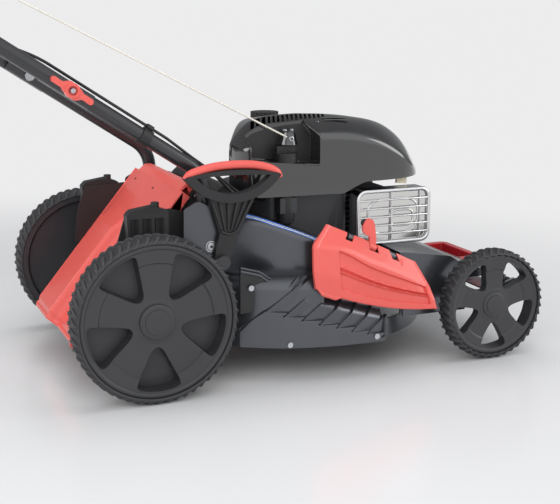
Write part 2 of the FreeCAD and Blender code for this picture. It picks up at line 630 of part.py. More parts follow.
# the deck carries the pin in two ears
ears = []
for start, end in ear_spans:
    middle = on_hinge((start + end) / 2)
    ears.append(rod(on_hinge(start), on_hinge(end), 6.4))
    ears.append(rod(middle, middle + V(0, 30, -29), 4.6))
deck = deck.fuse([ear_piece.cut(inner_deck) for ear_piece in ears])
deck = deck.cut(rod(pin_start, pin_end, side_pin_radius + S.seat_gap))
solid("deck_shell", deck)

# small screws: skirt, deck side and the rope's eyelet
skirt_screws = [V(240, side_y + 10.5, 68), V(180, side_y + 40, 168), V(396, side_y - 12.3, 72)]
screws = []
for spot in skirt_screws:
    screws.append(rod(spot, spot + V(0, -2.4, 0), 5))
eyelet_screws = [V(286.5, -112, 420), V(297.5, -112, 420)]
for spot in eyelet_screws:
    screws.append(rod(spot, spot + V(0, 0, 2.4), 4))
screws = [screw.cut(skirt).cut(deck) for screw in screws]
solid("body_screws", Part.makeCompound(screws))

# ---------------------------------------------------------------- handle brackets and lower tubes
foot_y = S.lower_tube_y
plate_in, plate_out = S.lever_inner - 6, S.lever_inner - 3
bracket_bolt = V(119, 0, S.lower_tube_foot + 14)
bracket = side_prism(
    [(70, 214), (78, 202), (152, 202), (153, 226), (136, 268), (132, 300), (98, 320), (72, 306)],
    -plate_in, -plate_out, [6, 0, 0, 14, 60, 16, 12, 8])
shelf_z = S.deck_plate + S.deck_wall + 11
bracket = bracket.fuse(block(82, 124, -plate_in, -S.neck_half_width, shelf_z, shelf_z + 3))
bracket = bracket.fuse(block(82, 124, -plate_in, -plate_out, shelf_z, shelf_z + 6))
bracket = bracket.fuse(cross_rod(
    bracket_bolt.x, bracket_bolt.z, -plate_in, -foot_y - S.tube_radius - 0.3, 9))
bracket = bracket.cut(cross_rod(lever_pivot.x, lever_pivot.z, -220, -150, S.pivot_pin_radius + S.running_gap))
bracket = bracket.cut(cross_rod(
    bracket_bolt.x, bracket_bolt.z, -220, -150, S.bracket_bolt_radius + S.seat_gap))
solid("handle_brackets", both_sides(bracket))

slope = math.radians(S.handle_slope)
up_handle = V(-math.cos(slope), 0, math.sin(slope))
over_handle = V(math.sin(slope), 0, math.cos(slope))
knee = V(S.handle_knee_ahead, -foot_y, S.handle_knee_up)
fold_run = (S.handle_knee_ahead + S.fold_behind) / math.cos(slope)
fold = V(knee.x, 0, knee.z) + up_handle * fold_run
lower_end = V(fold.x, -foot_y, fold.z) + up_handle * S.lower_tube_past_fold
lower_tube = tube([V(119, -foot_y, S.lower_tube_foot), knee, lower_end], S.knee_bend,
                  S.tube_radius, S.tube_radius - S.tube_wall)
lower_tube = lower_tube.cut(cross_rod(fold.x, fold.z, -200, -150, S.fold_bolt_radius + S.seat_gap))
lower_tube = lower_tube.cut(
    cross_rod(bracket_bolt.x, bracket_bolt.z, -200, -150, S.bracket_bolt_radius + S.seat_gap))
solid("lower_handle_tubes", both_sides(lower_tube))

bolt_head = cross_rod(bracket_bolt.x, bracket_bolt.z, -plate_out - 1.6, -plate_out, 10)
bolt_head = bolt_head.fuse(cross_rod(bracket_bolt.x, bracket_bolt.z, -plate_out - 2.2, -plate_out - 1.6, 7))
bolt_inner = foot_y - S.tube_radius + S.tube_wall + 2
bracket_bolts = bolt_head.fuse(
    cross_rod(bracket_bolt.x, bracket_bolt.z, -plate_out, -bolt_inner, S.bracket_bolt_radius))
bracket_bolts = bracket_bolts.fuse(cross_rod(bracket_bolt.x, bracket_bolt.z, -foot_y - 2, -foot_y + 4, 7))
solid("bracket_bolts", both_sides(bracket_bolts))

# ---------------------------------------------------------------- upper handle, grip, bail and wing nuts
upper_y = foot_y + S.tube_spacing
bar_x = S.front_wheel_diameter / 2 + S.wheel_base - S.overall_length + S.grip_radius
handle_reach = (fold.x - bar_x) / math.cos(slope)
bar = fold + up_handle * handle_reach
upper_foot = fold - up_handle * S.upper_tube_before_fold
out = V(0, upper_y, 0)
upper_route = [upper_foot - out, bar - out, bar + out, upper_foot + out]
upper_handle = tube(upper_route, S.handle_bend, S.tube_radius, S.tube_radius - S.tube_wall)
upper_handle = upper_handle.cut(cross_rod(fold.x, fold.z, -240, 240, S.fold_bolt_radius + S.running_gap))
bail_pivot = bar - up_handle * S.bail_reach
for sign in SIDES.values():
    inner_wall = upper_y - S.tube_radius - 3
    upper_handle = upper_handle.cut(cross_rod(
        bail_pivot.x, bail_pivot.z, sign * inner_wall, sign * upper_y, S.bail_rod_radius + S.running_gap))
solid("upper_handle", upper_handle)
grip = cross_rod(bar.x, bar.z, -S.grip_length / 2, S.grip_length / 2, S.grip_radius)
grip = grip.cut(cross_rod(bar.x, bar.z, -S.grip_length, S.grip_length, S.tube_radius + S.seat_gap))
solid("handle_grip", grip)

lift = math.radians(S.bail_angle)
bail_arm = up_handle * math.cos(lift) + over_handle * math.sin(lift)
bail_tip = bail_pivot + bail_arm * S.bail_reach
bail_y = S.bail_half_width
bail_end = V(0, upper_y - S.tube_radius + S.tube_wall + 1.5, 0)
bail_side = V(0, bail_y - 6, 0)
bail_route = [bail_pivot - bail_end, bail_pivot - bail_side, bail_tip - bail_side,
              bail_tip + bail_side, bail_pivot + bail_side, bail_pivot + bail_end]
solid("brake_bail", tube(bail_route, [0, 7, 30, 30, 7, 0], S.bail_rod_radius))

bolt_tip = upper_y + S.tube_radius + 18
clamp_head = foot_y - S.tube_radius - 0.3
clamp_bolt = cross_rod(fold.x, fold.z, -bolt_tip, -clamp_head, S.fold_bolt_radius)
clamp_bolt = clamp_bolt.fuse(cross_rod(fold.x, fold.z, -clamp_head, -clamp_head + 5, 9))
solid("clamp_bolts", both_sides(clamp_bolt))

nut_in = upper_y + S.tube_radius + 0.4
for side, sign in SIDES.items():
    hub = cross_rod(fold.x, fold.z, -nut_in - 15, -nut_in, 12)
    wings = side_prism([(-6, -11), (10, -12), (20, -4), (36, -5), (39, 0), (35, 5), (18, 5), (8, 10)],
                       -nut_in - 13, -nut_in - 2, [2, 6, 8, 4, 4, 4, 8, 4])
    half_turn = wings.copy()
    half_turn.rotate(V(0, 0, 0), V(0, 1, 0), 180)
    wings = wings.fuse(half_turn)
    wings.rotate(V(0, 0, 0), V(0, 1, 0), S.handle_slope)
    wings.translate(V(fold.x, 0, fold.z))
    nut = hub.fuse(wings)
    nut = nut.cut(cross_rod(fold.x, fold.z, -nut_in - 40, -nut_in + 5, S.fold_bolt_radius + S.running_gap))
    nut = nut.cut(cross_rod(fold.x, fold.z, -nut_in - 40, -nut_in - 9, 7.5))
    solid(f"wing_nut_{side}", nut if side == "right" else mirrored(nut))

# ---------------------------------------------------------------- starter rope with its guide and handle
rope_exit = V(292, -130, 408)
guide_run = handle_reach - S.rope_guide_below_bar
guide_foot = fold + up_handle * guide_run - V(0, upper_y, 0)
guide_eye = guide_foot + over_handle * 27
rope_line = (guide_eye - rope_exit).normalize()
eye = Part.makeTorus(6.5, 1.8, guide_eye, rope_line)
guide = eye.fuse(rod(guide_foot + over_handle * (S.tube_radius + 0.2), guide_eye - over_handle * 6.5, 2.2))
guide = guide.fuse(rod(guide_foot - up_handle * 7, guide_foot + up_handle * 7, S.tube_radius + 3))
guide = guide.cut(rod(guide_foot - up_handle * 8, guide_foot + up_handle * 8, S.tube_radius + S.seat_gap))
solid("rope_guide", guide)
rope_gap = 9
solid("starter_rope", rod(rope_exit, guide_eye, S.rope_radius))
tail_end = guide_eye + rope_line * rope_gap
solid("rope_tail", rod(guide_eye, tail_end, S.rope_radius))
across_grip = V(0, 1, 0)
grip_mid = tail_end + rope_line * 12
pull = rod(tail_end, grip_mid, 6).fuse(rod(grip_mid - across_grip * 42, grip_mid + across_grip * 42, 9.5))
for end in (-42, 42):
    pull = pull.fuse(Part.makeSphere(9.5, grip_mid + across_grip * end))
solid("starter_grip", pull)

# ---------------------------------------------------------------- control cables and their clips
clip_seat = V(15, -foot_y, 428)
clip_run = (V(clip_seat.x, 0, clip_seat.z) - V(knee.x, 0, knee.z)).dot(up_handle)
clip_mid = knee + up_handle * clip_run
cable_lift = S.tube_radius + 2.8 + S.cable_radius + 0.4
clip = rod(clip_mid - up_handle * 9, clip_mid + up_handle * 9, S.tube_radius + 2.8)
clip = clip.cut(rod(clip_mid - up_handle * 10, clip_mid + up_handle * 10, S.tube_radius + S.seat_gap))
saddle_mid = clip_mid + over_handle * cable_lift
lead_offset = V(0, 9, 0)
for centre, radius in ((saddle_mid, S.cable_radius), (saddle_mid + lead_offset, S.lead_radius)):
    ring = rod(centre - up_handle * 6, centre + up_handle * 6, radius + 2.4)
    ring = ring.cut(rod(centre - up_handle * 7, centre + up_handle * 7, radius + S.seat_gap))
    ring = ring.cut(rod(clip_mid - up_handle * 10, clip_mid + up_handle * 10, S.tube_radius + 2.8))
    ring = ring.cut(rod(saddle_mid - up_handle * 7, saddle_mid + up_handle * 7, S.cable_radius + S.seat_gap))
    clip = clip.fuse(ring)
solid("cable_clips", clip)

inside_upper = V(0, S.tube_radius + S.cable_radius + 3 - upper_y, 0)
cable_top = fold + up_handle * (handle_reach - S.bail_reach - 30) + inside_upper
over_inside = fold + up_handle * 150 + inside_upper
over_fold = fold + up_handle * 62 + over_handle * cable_lift - V(0, foot_y, 0)
cable_route = [cable_top, over_inside, over_fold, saddle_mid, saddle_mid - up_handle * 34,
               V(139, -150, 358), V(176, -146, 322), V(208, -145, 302), V(250, -105, 297)]
cable_bends = [0, 300, 200, 0, 90, 50, 50, 50, 0]
cable = tube(cable_route, cable_bends, S.cable_radius)
lead_route = [point + lead_offset for point in (cable_top, over_inside, over_fold, saddle_mid)]
lead_route += [saddle_mid + lead_offset - up_handle * 30,
               V(142, -138, 360), V(180, -138, 328), V(208, -136, 308), V(238, -92, 304)]
lead = tube(lead_route, cable_bends, S.lead_radius)
solid("control_cables", Part.makeCompound([cable, lead]))

# ---------------------------------------------------------------- front cover with its carrying handle
cover_top = [(470, 205), (576, 189), (606, 169), (650, 158), (704, 140), (724, 112), (724, 84)]
cover_hollow = [(467, 202), (575, 186), (605, 166), (648, 155), (701, 137), (721, 111), (721, 70)]
cover_bends = [0, 24, 24, 20, 14, 8, 0, 0]
cover = side_prism(cover_top + [(470, 84)], -cover_half_width, cover_half_width, cover_bends)
cover_plan = [(460, -cover_half_width), (700, -cover_half_width), (724, -160), (724, 160),
              (700, cover_half_width), (460, cover_half_width)]
cover = cover.common(plan_prism(cover_plan, 50, 260, [0, 14, 20, 20, 14, 0]))
inner_half = cover_half_width - 3
hollow = side_prism(cover_hollow + [(467, 70)], -inner_half, inner_half, cover_bends)
hollow_plan = [(450, -inner_half), (699, -inner_half), (721, -159), (721, 159), (699, inner_half),
               (450, inner_half)]
hollow = hollow.common(plan_prism(hollow_plan, 40, 260, [0, 12, 18, 18, 12, 0]))
cover = cover.cut(hollow)
bosses = cross_rod(front_pivot.x, front_pivot.z, -cover_half_width, -cover_half_width + 10, 11).common(
    side_prism(cover_top + [(470, 84)], -cover_half_width, cover_half_width))
cover = cover.fuse([bosses, mirrored(bosses)])
for sign in SIDES.values():
    cover = cover.cut(cross_rod(
        front_pivot.x, front_pivot.z, sign * (cover_half_width - 20), sign * (cover_half_width + 5),
        S.pivot_pin_radius + S.running_gap))
spindle_sweep = plan_prism([(610, -230), (680, -230), (680, 230), (610, 230)], 60, 145)
cover = cover.cut(spindle_sweep).cut(deck_room)
# lowered middle in front, with the carrying handle over it
nose_half, nose_floor = 188, 106
nose = block(676, 730, -nose_half, nose_half, nose_floor, 200)
nose_wall = block(673, 723.9, -nose_half - 3, nose_half + 3, nose_floor - 3, 150).common(
    side_prism(cover_top + [(470, 84)], -cover_half_width, cover_half_width, cover_bends))
cover = cover.fuse(nose_wall.cut(spindle_sweep)).cut(nose)
solid("front_cover", cover)
carry_half, carry_top = 78, 146
carry = plan_prism([(660, -carry_half), (738, -carry_half), (738, carry_half), (660, carry_half)],
                   carry_top - 28, carry_top, [0, 16, 16, 0])
carry_inner = carry_half - 14
carry = carry.cut(plan_prism(
    [(650, -carry_inner), (724, -carry_inner), (724, carry_inner), (650, carry_inner)],
    carry_top - 40, carry_top + 10, [0, 8, 8, 0]))
foot = block(676.3, 700, -carry_half, -carry_half + 26, nose_floor + 0.2, carry_top - 20)
carry = carry.fuse([foot, mirrored(foot)])
carry = carry.cut(block(600, 676.3, -200, 200, 60, 200))
solid("front_handle", carry)

# ---------------------------------------------------------------- engine
top, nose, rear, half = S.cowl_top, S.cowl_nose, S.cowl_rear, S.cowl_half_width
cowl_side = [(rear - 2, S.cowl_bottom), (rear, top - 42), (rear + 12, top - 16), (rear + 40, top + 1),
             (nose - 200, top), (nose - 90, top - 32), (nose - 18, top - 72), (nose, top - 100),
             (nose - 6, S.cowl_bottom)]
cowl_plan = [(rear + 50, -half), (rear + 16, -half + 26), (rear + 8, -half + 70), (rear + 34, -4),
             (rear + 74, 100), (rear + 98, half - 14), (rear + 142, half), (nose - 120, half),
             (nose - 30, half - 44), (nose + 2, half - 98), (nose + 2, -half + 98), (nose - 30, -half + 44),
             (nose - 120, -half)]
side_corners = [0, 20, 20, 30, 160, 160, 30, 16, 0]
plan_corners = [22, 14, 14, 40, 20, 20, 20, 50, 30, 30, 30, 30, 50]


def drawn_in(outline, centre, inset):
    """Outline with each point moved toward a centre along both axes by an inset."""
    middle_x, middle_y = centre
    moved = []
    for x, y in outline:
        moved.append((x - math.copysign(inset, x - middle_x), y - math.copysign(inset, y - middle_y)))
    return moved


def top_band(outline, side, inset):
    """Room above a slanted band that joins the top to one side and follows the nose down."""
    loops = []
    for y, drop in ((S.cowl_half_width + 4 - inset, 27), (S.cowl_half_width - 50 - inset, -1)):
        crest = [V(x, side * y, z - drop) for x, z in outline[1:-1]]
        crest = [crest[0] - V(40, 0, 0), *crest[1:-1], crest[-1] + V(40, 0, 0)]
        lid = [V(crest[-1].x, side * y, top + 80), V(crest[0].x, side * y, top + 80)]
        loops.append(rounded([*crest, *lid], [0, 20, 30, 160, 160, 30, 0, 0, 0]))
    return Part.makeLoft(loops, True, True)


def cowl_volume(inset, bottom):
    """Blower housing volume: a side outline crossed with a plan outline."""
    middle = (rear + nose) / 2
    outline = drawn_in(cowl_side, (middle, top - 80), inset)
    outline[0] = (outline[0][0], bottom)
    outline[-1] = (outline[-1][0], bottom)
    side_view = side_prism(outline, -half - 12, half + 12, side_corners)
    plan_view = plan_prism(drawn_in(cowl_plan, (middle, 0), inset), bottom, top + 20, plan_corners)
    # the rear slants down toward the left rear edge of the plan
    edge, edge_top, rise = V(rear + 16, -half + 26, 0), top - 38 - inset, 0.4
    along = (V(rear + 98, half - 14, 0) - edge).normalize()
    inward = V(along.y, -along.x, 0)
    start, end = -60, 110
    corners = [edge + inward * run + V(0, 0, z) - along * 200 for run, z in (
        (start, edge_top + start * rise), (end, edge_top + end * rise), (end, top + 80), (start, top + 80))]
    slant = Part.Face(Part.makePolygon([*corners, corners[0]])).extrude(along * 700)
    volume = side_view.common(plan_view).cut(slant)
    for side in SIDES.values():
        volume = volume.cut(top_band(outline, side, inset))
    return volume


cowl_outer = cowl_volume(0, S.cowl_bottom)
cowl_room = cowl_volume(S.cowl_wall, S.cowl_bottom - 1)
cowl = cowl_outer.cut(cowl_room)
# the right wall steps up over the muffler guard
over_guard = [(416, S.cowl_bottom - 8), (426, 325), (nose + 10, 333), (nose + 10, S.cowl_bottom - 8)]
cowl = cowl.cut(side_prism(over_guard, -half - 22, -half + 108, [0, 8, 0, 0]))
# open recess on the right for the oil filler and the starter rope
oil_x, oil_y = 284, -126
recess_floor = 365
recess_plan = [(212, -170), (226, -124), (258, -96), (306, -96), (344, -146), (346, -170)]
recess = plan_prism(recess_plan, recess_floor, 470)
liner_plan = [(208, -170), (222.5, -122), (256.5, -93), (307.5, -93), (347.5, -145), (350, -170)]
liner = plan_prism(liner_plan, recess_floor - S.cowl_wall, 470).cut(recess).common(cowl_outer)
cowl = cowl.cut(recess).fuse(liner)
cowl = cowl.cut(rod(V(oil_x, oil_y, recess_floor - 20), V(oil_x, oil_y, recess_floor + 5), 13.4))
eyelet = block(281, 303, -132, -94, 400, 420)
eyelet = eyelet.makeFillet(4, edges_where(eyelet, lambda p: p.y < -95))
cowl = cowl.fuse(eyelet)
fuel_cap_at = V(318, 62, 0)
cap_seat = 424
cap_well = rod(fuel_cap_at + V(0, 0, cap_seat - 3), fuel_cap_at + V(0, 0, 470), S.fuel_cap_radius + 7)
cowl = cowl.fuse(cap_well.common(cowl_outer))
cowl = cowl.cut(rod(fuel_cap_at + V(0, 0, cap_seat), fuel_cap_at + V(0, 0, 470), S.fuel_cap_radius + 4))
cowl = cowl.cut(rod(fuel_cap_at + V(0, 0, 400), fuel_cap_at + V(0, 0, 470), 18))
cowl = cowl.fuse(rod(V(S.crank_ahead, 0, 380), V(S.crank_ahead, 0, 438), 9))
cowl = cowl.cut(rod(V(S.crank_ahead, 0, 300), V(S.crank_ahead, 0, 400), 6 + S.running_gap))
cowl = cowl.cut(rod(rope_exit - rope_line * 25, rope_exit + rope_line * 40, S.rope_radius + 0.3))
solid("engine_cowl", cowl)

plate_z = S.deck_plate
block_plan = [(228, -80), (262, -112), (410, -112), (430, -70), (430, 70), (410, 112), (262, 112), (228, 80)]
engine_block = plan_prism(block_plan, plate_z + 0.1, 308, 18)
for fin_index in range(9):
    fin_z = 214 + fin_index * 10
    engine_block = engine_block.fuse(block(420, 520, -60, 60, fin_z, fin_z + 4))
engine_block = engine_block.fuse(rod(V(420, 0, 258), V(516, 0, 258), 40))
engine_block = engine_block.fuse(rod(V(oil_x, oil_y, 290), V(oil_x, oil_y, 366), 13))
engine_block = engine_block.fuse(block(oil_x - 16, oil_x + 16, oil_y - 14, -100, 276, 304))
engine_block = engine_block.cut(rod(
    crank + V(0, 0, 150), crank + V(0, 0, 330), S.crank_radius + S.running_gap))
engine_block = engine_block.cut(rod(V(oil_x, oil_y, 310), V(oil_x, oil_y, 380), 10))
engine_block = engine_block.cut(rod(V(505, 0, 258), V(530, 0, 258), 7 + S.seat_gap))
exhaust = cross_rod(478, 262, -116, -40, 13)
engine_block = engine_block.fuse(exhaust)
intake = cross_rod(478, 262, 40, 76, 13)
engine_block = engine_block.fuse(intake)
engine_block = engine_block.cut(deck_room)
solid("engine_block", engine_block)

spark_plug = rod(V(506, 0, 258), V(522, 0, 258), 7).fuse(rod(V(522, 0, 258), V(530, 0, 258), 10))
spark_plug = spark_plug.fuse(rod(V(530, 0, 258), V(556, 0, 258), 8))
solid("spark_plug", spark_plug)
air_filter = block(432, 566, 76.3, 140, 214, 306)
air_filter = air_filter.makeFillet(10, air_filter.Edges)
solid("air_filter", air_filter)

guard_face = -150
guard = block(415, 570, guard_face, -116, 205, 310)
guard = guard.makeFillet(14, edges_where(guard, lambda p: abs(p.y + 133) < 1))
guard = guard.makeFillet(5, edges_where(guard, lambda p: abs(p.y - guard_face) < 0.01))
muffler = block(420, 565, guard_face + 7, -116.2, 210, 305)
guard = guard.cut(block(418, 567, guard_face + 1.6, -110, 208, 307))
slot_rows, slot_columns = 6, 3
for slot_row in range(slot_rows):
    for column in range(slot_columns):
        left = 427 + column * 46
        low = 217 + slot_row * 14.4
        guard = guard.cut(block(left, left + 39, guard_face - 1, guard_face + 3, low, low + 8))
solid("muffler_guard", guard)
muffler = muffler.makeFillet(8, edges_where(muffler, lambda p: guard_face + 8 < p.y < -117.2))
solid("muffler", muffler)

tank = block(272, 400, 50, 130, 340, 408)
tank = tank.makeFillet(12, tank.Edges)
tank = tank.common(cowl_volume(S.cowl_wall + 1.5, 300))
neck_top = cap_seat - 2
tank = tank.fuse(rod(fuel_cap_at + V(0, 0, 395), fuel_cap_at + V(0, 0, neck_top), 17))
tank = tank.cut(rod(fuel_cap_at + V(0, 0, 402), fuel_cap_at + V(0, 0, 450), 14))
solid("fuel_tank", tank)
fuel_cap = rod(fuel_cap_at + V(0, 0, cap_seat + 0.5), fuel_cap_at + V(0, 0, cap_seat + 15), S.fuel_cap_radius)
knurls = 20
for knurl in range(knurls):
    turn = 2 * math.pi * knurl / knurls
    spot = fuel_cap_at + V(math.cos(turn), math.sin(turn), 0) * (S.fuel_cap_radius + 1)
    fuel_cap = fuel_cap.cut(rod(spot + V(0, 0, cap_seat), spot + V(0, 0, cap_seat + 20), 2.6))
fuel_cap = fuel_cap.fuse(rod(
    fuel_cap_at + V(0, 0, neck_top - 12), fuel_cap_at + V(0, 0, cap_seat + 0.5), 13.5))
solid("fuel_cap", fuel_cap)
oil_at = V(oil_x, oil_y, 0)
oil_cap = rod(oil_at + V(0, 0, 366.4), oil_at + V(0, 0, 384), S.oil_cap_radius)
oil_cap = oil_cap.fuse(block(oil_x - 18, oil_x + 18, oil_y - 3.5, oil_y + 3.5, 384, 396))
oil_cap = oil_cap.fuse(rod(oil_at + V(0, 0, 340), oil_at + V(0, 0, 367), 9.6))
solid("oil_cap", oil_cap)

flywheel = rod(V(S.crank_ahead, 0, 312), V(S.crank_ahead, 0, 322), S.flywheel_radius)
vanes = 12
for vane in range(vanes):
    turn = 2 * math.pi * vane / vanes
    blade_vane = block(46, 84, -1.5, 1.5, 322, 334)
    blade_vane.rotate(V(0, 0, 0), V(0, 0, 1), math.degrees(turn))
    blade_vane.translate(crank)
    flywheel = flywheel.fuse(blade_vane)
flywheel = flywheel.fuse(rod(V(S.crank_ahead, 0, 322), V(S.crank_ahead, 0, 334), 20))
flywheel = flywheel.cut(rod(V(S.crank_ahead, 0, 300), V(S.crank_ahead, 0, 345), 9 + S.seat_gap))
solid("flywheel", flywheel)
pulley = rod(V(S.crank_ahead, 0, 352), V(S.crank_ahead, 0, 370), S.pulley_radius)
pulley_groove = rod(V(S.crank_ahead, 0, 357), V(S.crank_ahead, 0, 365), S.pulley_radius + 1).cut(
    rod(V(S.crank_ahead, 0, 356), V(S.crank_ahead, 0, 366), S.pulley_radius - 9))
pulley = pulley.cut(pulley_groove).fuse(rod(V(S.crank_ahead, 0, 370), V(S.crank_ahead, 0, 379), 12))
pulley = pulley.fuse(rod(V(S.crank_ahead, 0, 370), V(S.crank_ahead, 0, 398), 6))
solid("starter_pulley", pulley)

# ---------------------------------------------------------------- crankshaft and blade
blade_z = S.blade_height
adapter_top = blade_z + S.blade_thickness + 26
crankshaft = rod(crank + V(0, 0, blade_z + S.blade_thickness + 6), crank + V(0, 0, 311.6), S.crank_radius)
crankshaft = crankshaft.fuse(rod(crank + V(0, 0, 311.6), crank + V(0, 0, 334), 9))
bolt_thread = 5
crankshaft = crankshaft.cut(rod(
    crank + V(0, 0, blade_z), crank + V(0, 0, blade_z + 40), bolt_thread + S.seat_gap))
solid("crankshaft", crankshaft)
adapter = rod(crank + V(0, 0, blade_z + S.blade_thickness), crank + V(0, 0, adapter_top), 22)
adapter = adapter.fuse(block(S.crank_ahead - 34, S.crank_ahead + 34, -19, 19, blade_z + S.blade_thickness,
                             blade_z + S.blade_thickness + 6))
adapter = adapter.cut(rod(crank + V(0, 0, blade_z + S.blade_thickness + 6), crank + V(0, 0, adapter_top + 1),
                          S.crank_radius + S.seat_gap))
adapter = adapter.cut(rod(crank + V(0, 0, blade_z), crank + V(0, 0, blade_z + 20), bolt_thread + S.seat_gap))
solid("blade_adapter", adapter)

blade = new_body("blade")
blade_plan = new_sketch(blade, "blade_plan", "XY_Plane", "Sizes.blade_height")
tip, edge = "Sizes.blade_length / 2", "Sizes.blade_width / 2"
polygon(blade_plan, [
    (f"-{tip}", f"-{edge}"), (f"{tip} - 16", f"-{edge}"), (tip, f"-{edge} + 12"),
    (tip, edge), (f"-{tip} + 16", edge), (f"-{tip}", f"{edge} - 12")])
blade_pad = blade.newObject("PartDesign::Pad", "blade_steel")
blade_pad.Profile = blade_plan
blade_pad.setExpression("Length", "Sizes.blade_thickness")
hole_plan = new_sketch(blade, "blade_hole_plan", "XY_Plane", "Sizes.blade_height + Sizes.blade_thickness")
hole_plan.addGeometry(Part.Circle(V(0, 0, 0), V(0, 0, 1), bolt_thread + 0.1))
hole_plan.addConstraint(Sketcher.Constraint("Coincident", 0, 3, -1, 1))
hole_plan.addConstraint(Sketcher.Constraint("Radius", 0, bolt_thread + 0.1))
blade_hole = blade.newObject("PartDesign::Pocket", "blade_hole")
blade_hole.Profile = hole_plan
blade_hole.setExpression("Length", "Sizes.blade_thickness + 1")
blade.Placement = FreeCAD.Placement(V(axle_x + S.crank_ahead, 0, 0), FreeCAD.Rotation(V(0, 0, 1), 28))
blade_bolt = rod(crank + V(0, 0, blade_z - 8), crank + V(0, 0, blade_z - 2.5), 9).fuse(
    rod(crank + V(0, 0, blade_z - 2.5), crank + V(0, 0, blade_z), 15))
blade_bolt = blade_bolt.fuse(rod(crank + V(0, 0, blade_z), crank + V(0, 0, blade_z + 38), bolt_thread))
solid("blade_bolt", blade_bolt)

# ---------------------------------------------------------------- check and write
doc.recompute()
os.makedirs("parts", exist_ok=True)
for item in doc.Objects:
    if {"Invalid", "Error"} & set(item.State):
        raise RuntimeError(f"{item.Name} failed: {item.State}")
for label, item in pieces.items():
    if item.Shape.isNull() or not item.Shape.isValid():
        raise RuntimeError(f"{label} has no valid shape")
for label, item in pieces.items():
    item.Shape.exportStep(f"parts/{label}.step")
print(len(pieces), "pieces")
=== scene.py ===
"""Dresses a walk-behind rotary mower: surfaces, tread, ribs, vents, small parts, light and camera."""

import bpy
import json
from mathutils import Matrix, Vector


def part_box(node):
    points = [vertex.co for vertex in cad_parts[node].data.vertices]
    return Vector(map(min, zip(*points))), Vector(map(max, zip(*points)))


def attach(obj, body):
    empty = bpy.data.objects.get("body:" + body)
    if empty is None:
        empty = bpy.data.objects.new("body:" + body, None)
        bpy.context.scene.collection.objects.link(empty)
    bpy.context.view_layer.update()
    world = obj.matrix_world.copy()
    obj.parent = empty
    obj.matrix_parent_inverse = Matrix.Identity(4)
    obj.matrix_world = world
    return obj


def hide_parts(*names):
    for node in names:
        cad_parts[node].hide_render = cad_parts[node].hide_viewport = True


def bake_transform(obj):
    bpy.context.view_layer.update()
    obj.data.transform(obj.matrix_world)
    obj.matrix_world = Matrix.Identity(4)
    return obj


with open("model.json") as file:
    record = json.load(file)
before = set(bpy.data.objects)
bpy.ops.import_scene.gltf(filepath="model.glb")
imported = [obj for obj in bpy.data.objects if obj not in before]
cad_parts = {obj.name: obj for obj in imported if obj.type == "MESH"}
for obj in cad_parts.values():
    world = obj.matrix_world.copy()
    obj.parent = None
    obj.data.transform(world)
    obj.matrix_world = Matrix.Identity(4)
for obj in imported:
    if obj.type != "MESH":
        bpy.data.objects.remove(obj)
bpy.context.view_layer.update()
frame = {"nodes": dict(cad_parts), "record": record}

import json
import logging
import math
from dataclasses import dataclass
from enum import Enum
from typing import Callable, Sequence

import bmesh
import bpy
from mathutils import Vector
from mathutils.bvhtree import BVHTree

logging.basicConfig(level=logging.INFO, format="%(levelname)s %(message)s")
LOG = logging.getLogger("mower")
MM = 0.001
AXLE_X = 76.5  # the rear axle's place along the machine, in millimetres
SIDES = {"right": -1, "left": 1}


def at(x: float, y: float, z: float) -> Vector:
    """Point in metres from millimetres counted from the ground under the rear axle."""
    return Vector(((x + AXLE_X) * MM, y * MM, z * MM))


def smooth(low: float, high: float, value: float) -> float:
    """Soft step from 0 at low to 1 at high."""
    share = min(1.0, max(0.0, (value - low) / (high - low)))
    return share * share * (3 - 2 * share)


def bump_at(value: float, centre: float, half: float) -> float:
    """Rounded ridge of height 1 about a centre."""
    share = abs(value - centre) / half
    return 0.0 if share >= 1 else 0.5 + 0.5 * math.cos(math.pi * share)


# ---------------------------------------------------------------- finishes
def linear(hex_colour: str) -> tuple[float, float, float, float]:
    """Linear colour of an sRGB hex value.

    Args:
        hex_colour: Six hex digits, such as "C8322B".

    Returns:
        Red, green, blue and an alpha of 1.
    """
    channels = [int(hex_colour[start:start + 2], 16) / 255 for start in (0, 2, 4)]
    return tuple(c / 12.92 if c <= 0.04045 else ((c + 0.055) / 1.055) ** 2.4 for c in channels) + (1.0,)


def add(tree: bpy.types.NodeTree, kind: str, settings: dict | None = None,
        links: dict | None = None, values: dict | None = None) -> bpy.types.Node:
    """Add a node with its settings, socket values and incoming links.

    Args:
        tree: The node tree.
        kind: The node's type name.
        settings: Properties of the node itself.
        links: Input name or index to the output socket that feeds it.
        values: Input name or index to its value.

    Returns:
        The new node.
    """
    item = tree.nodes.new(kind)
    for name, value in (settings or {}).items():
        setattr(item, name, value)
    for name, value in (values or {}).items():
        item.inputs[name].default_value = value
    for name, source in (links or {}).items():
        tree.links.new(source, item.inputs[name])
    return item


class Pattern(Enum):
    """How a surface's fine relief is laid."""

    GRAIN = "grain"
    BRUSHED = "brushed"
    BRAID = "braid"
    CAST = "cast"


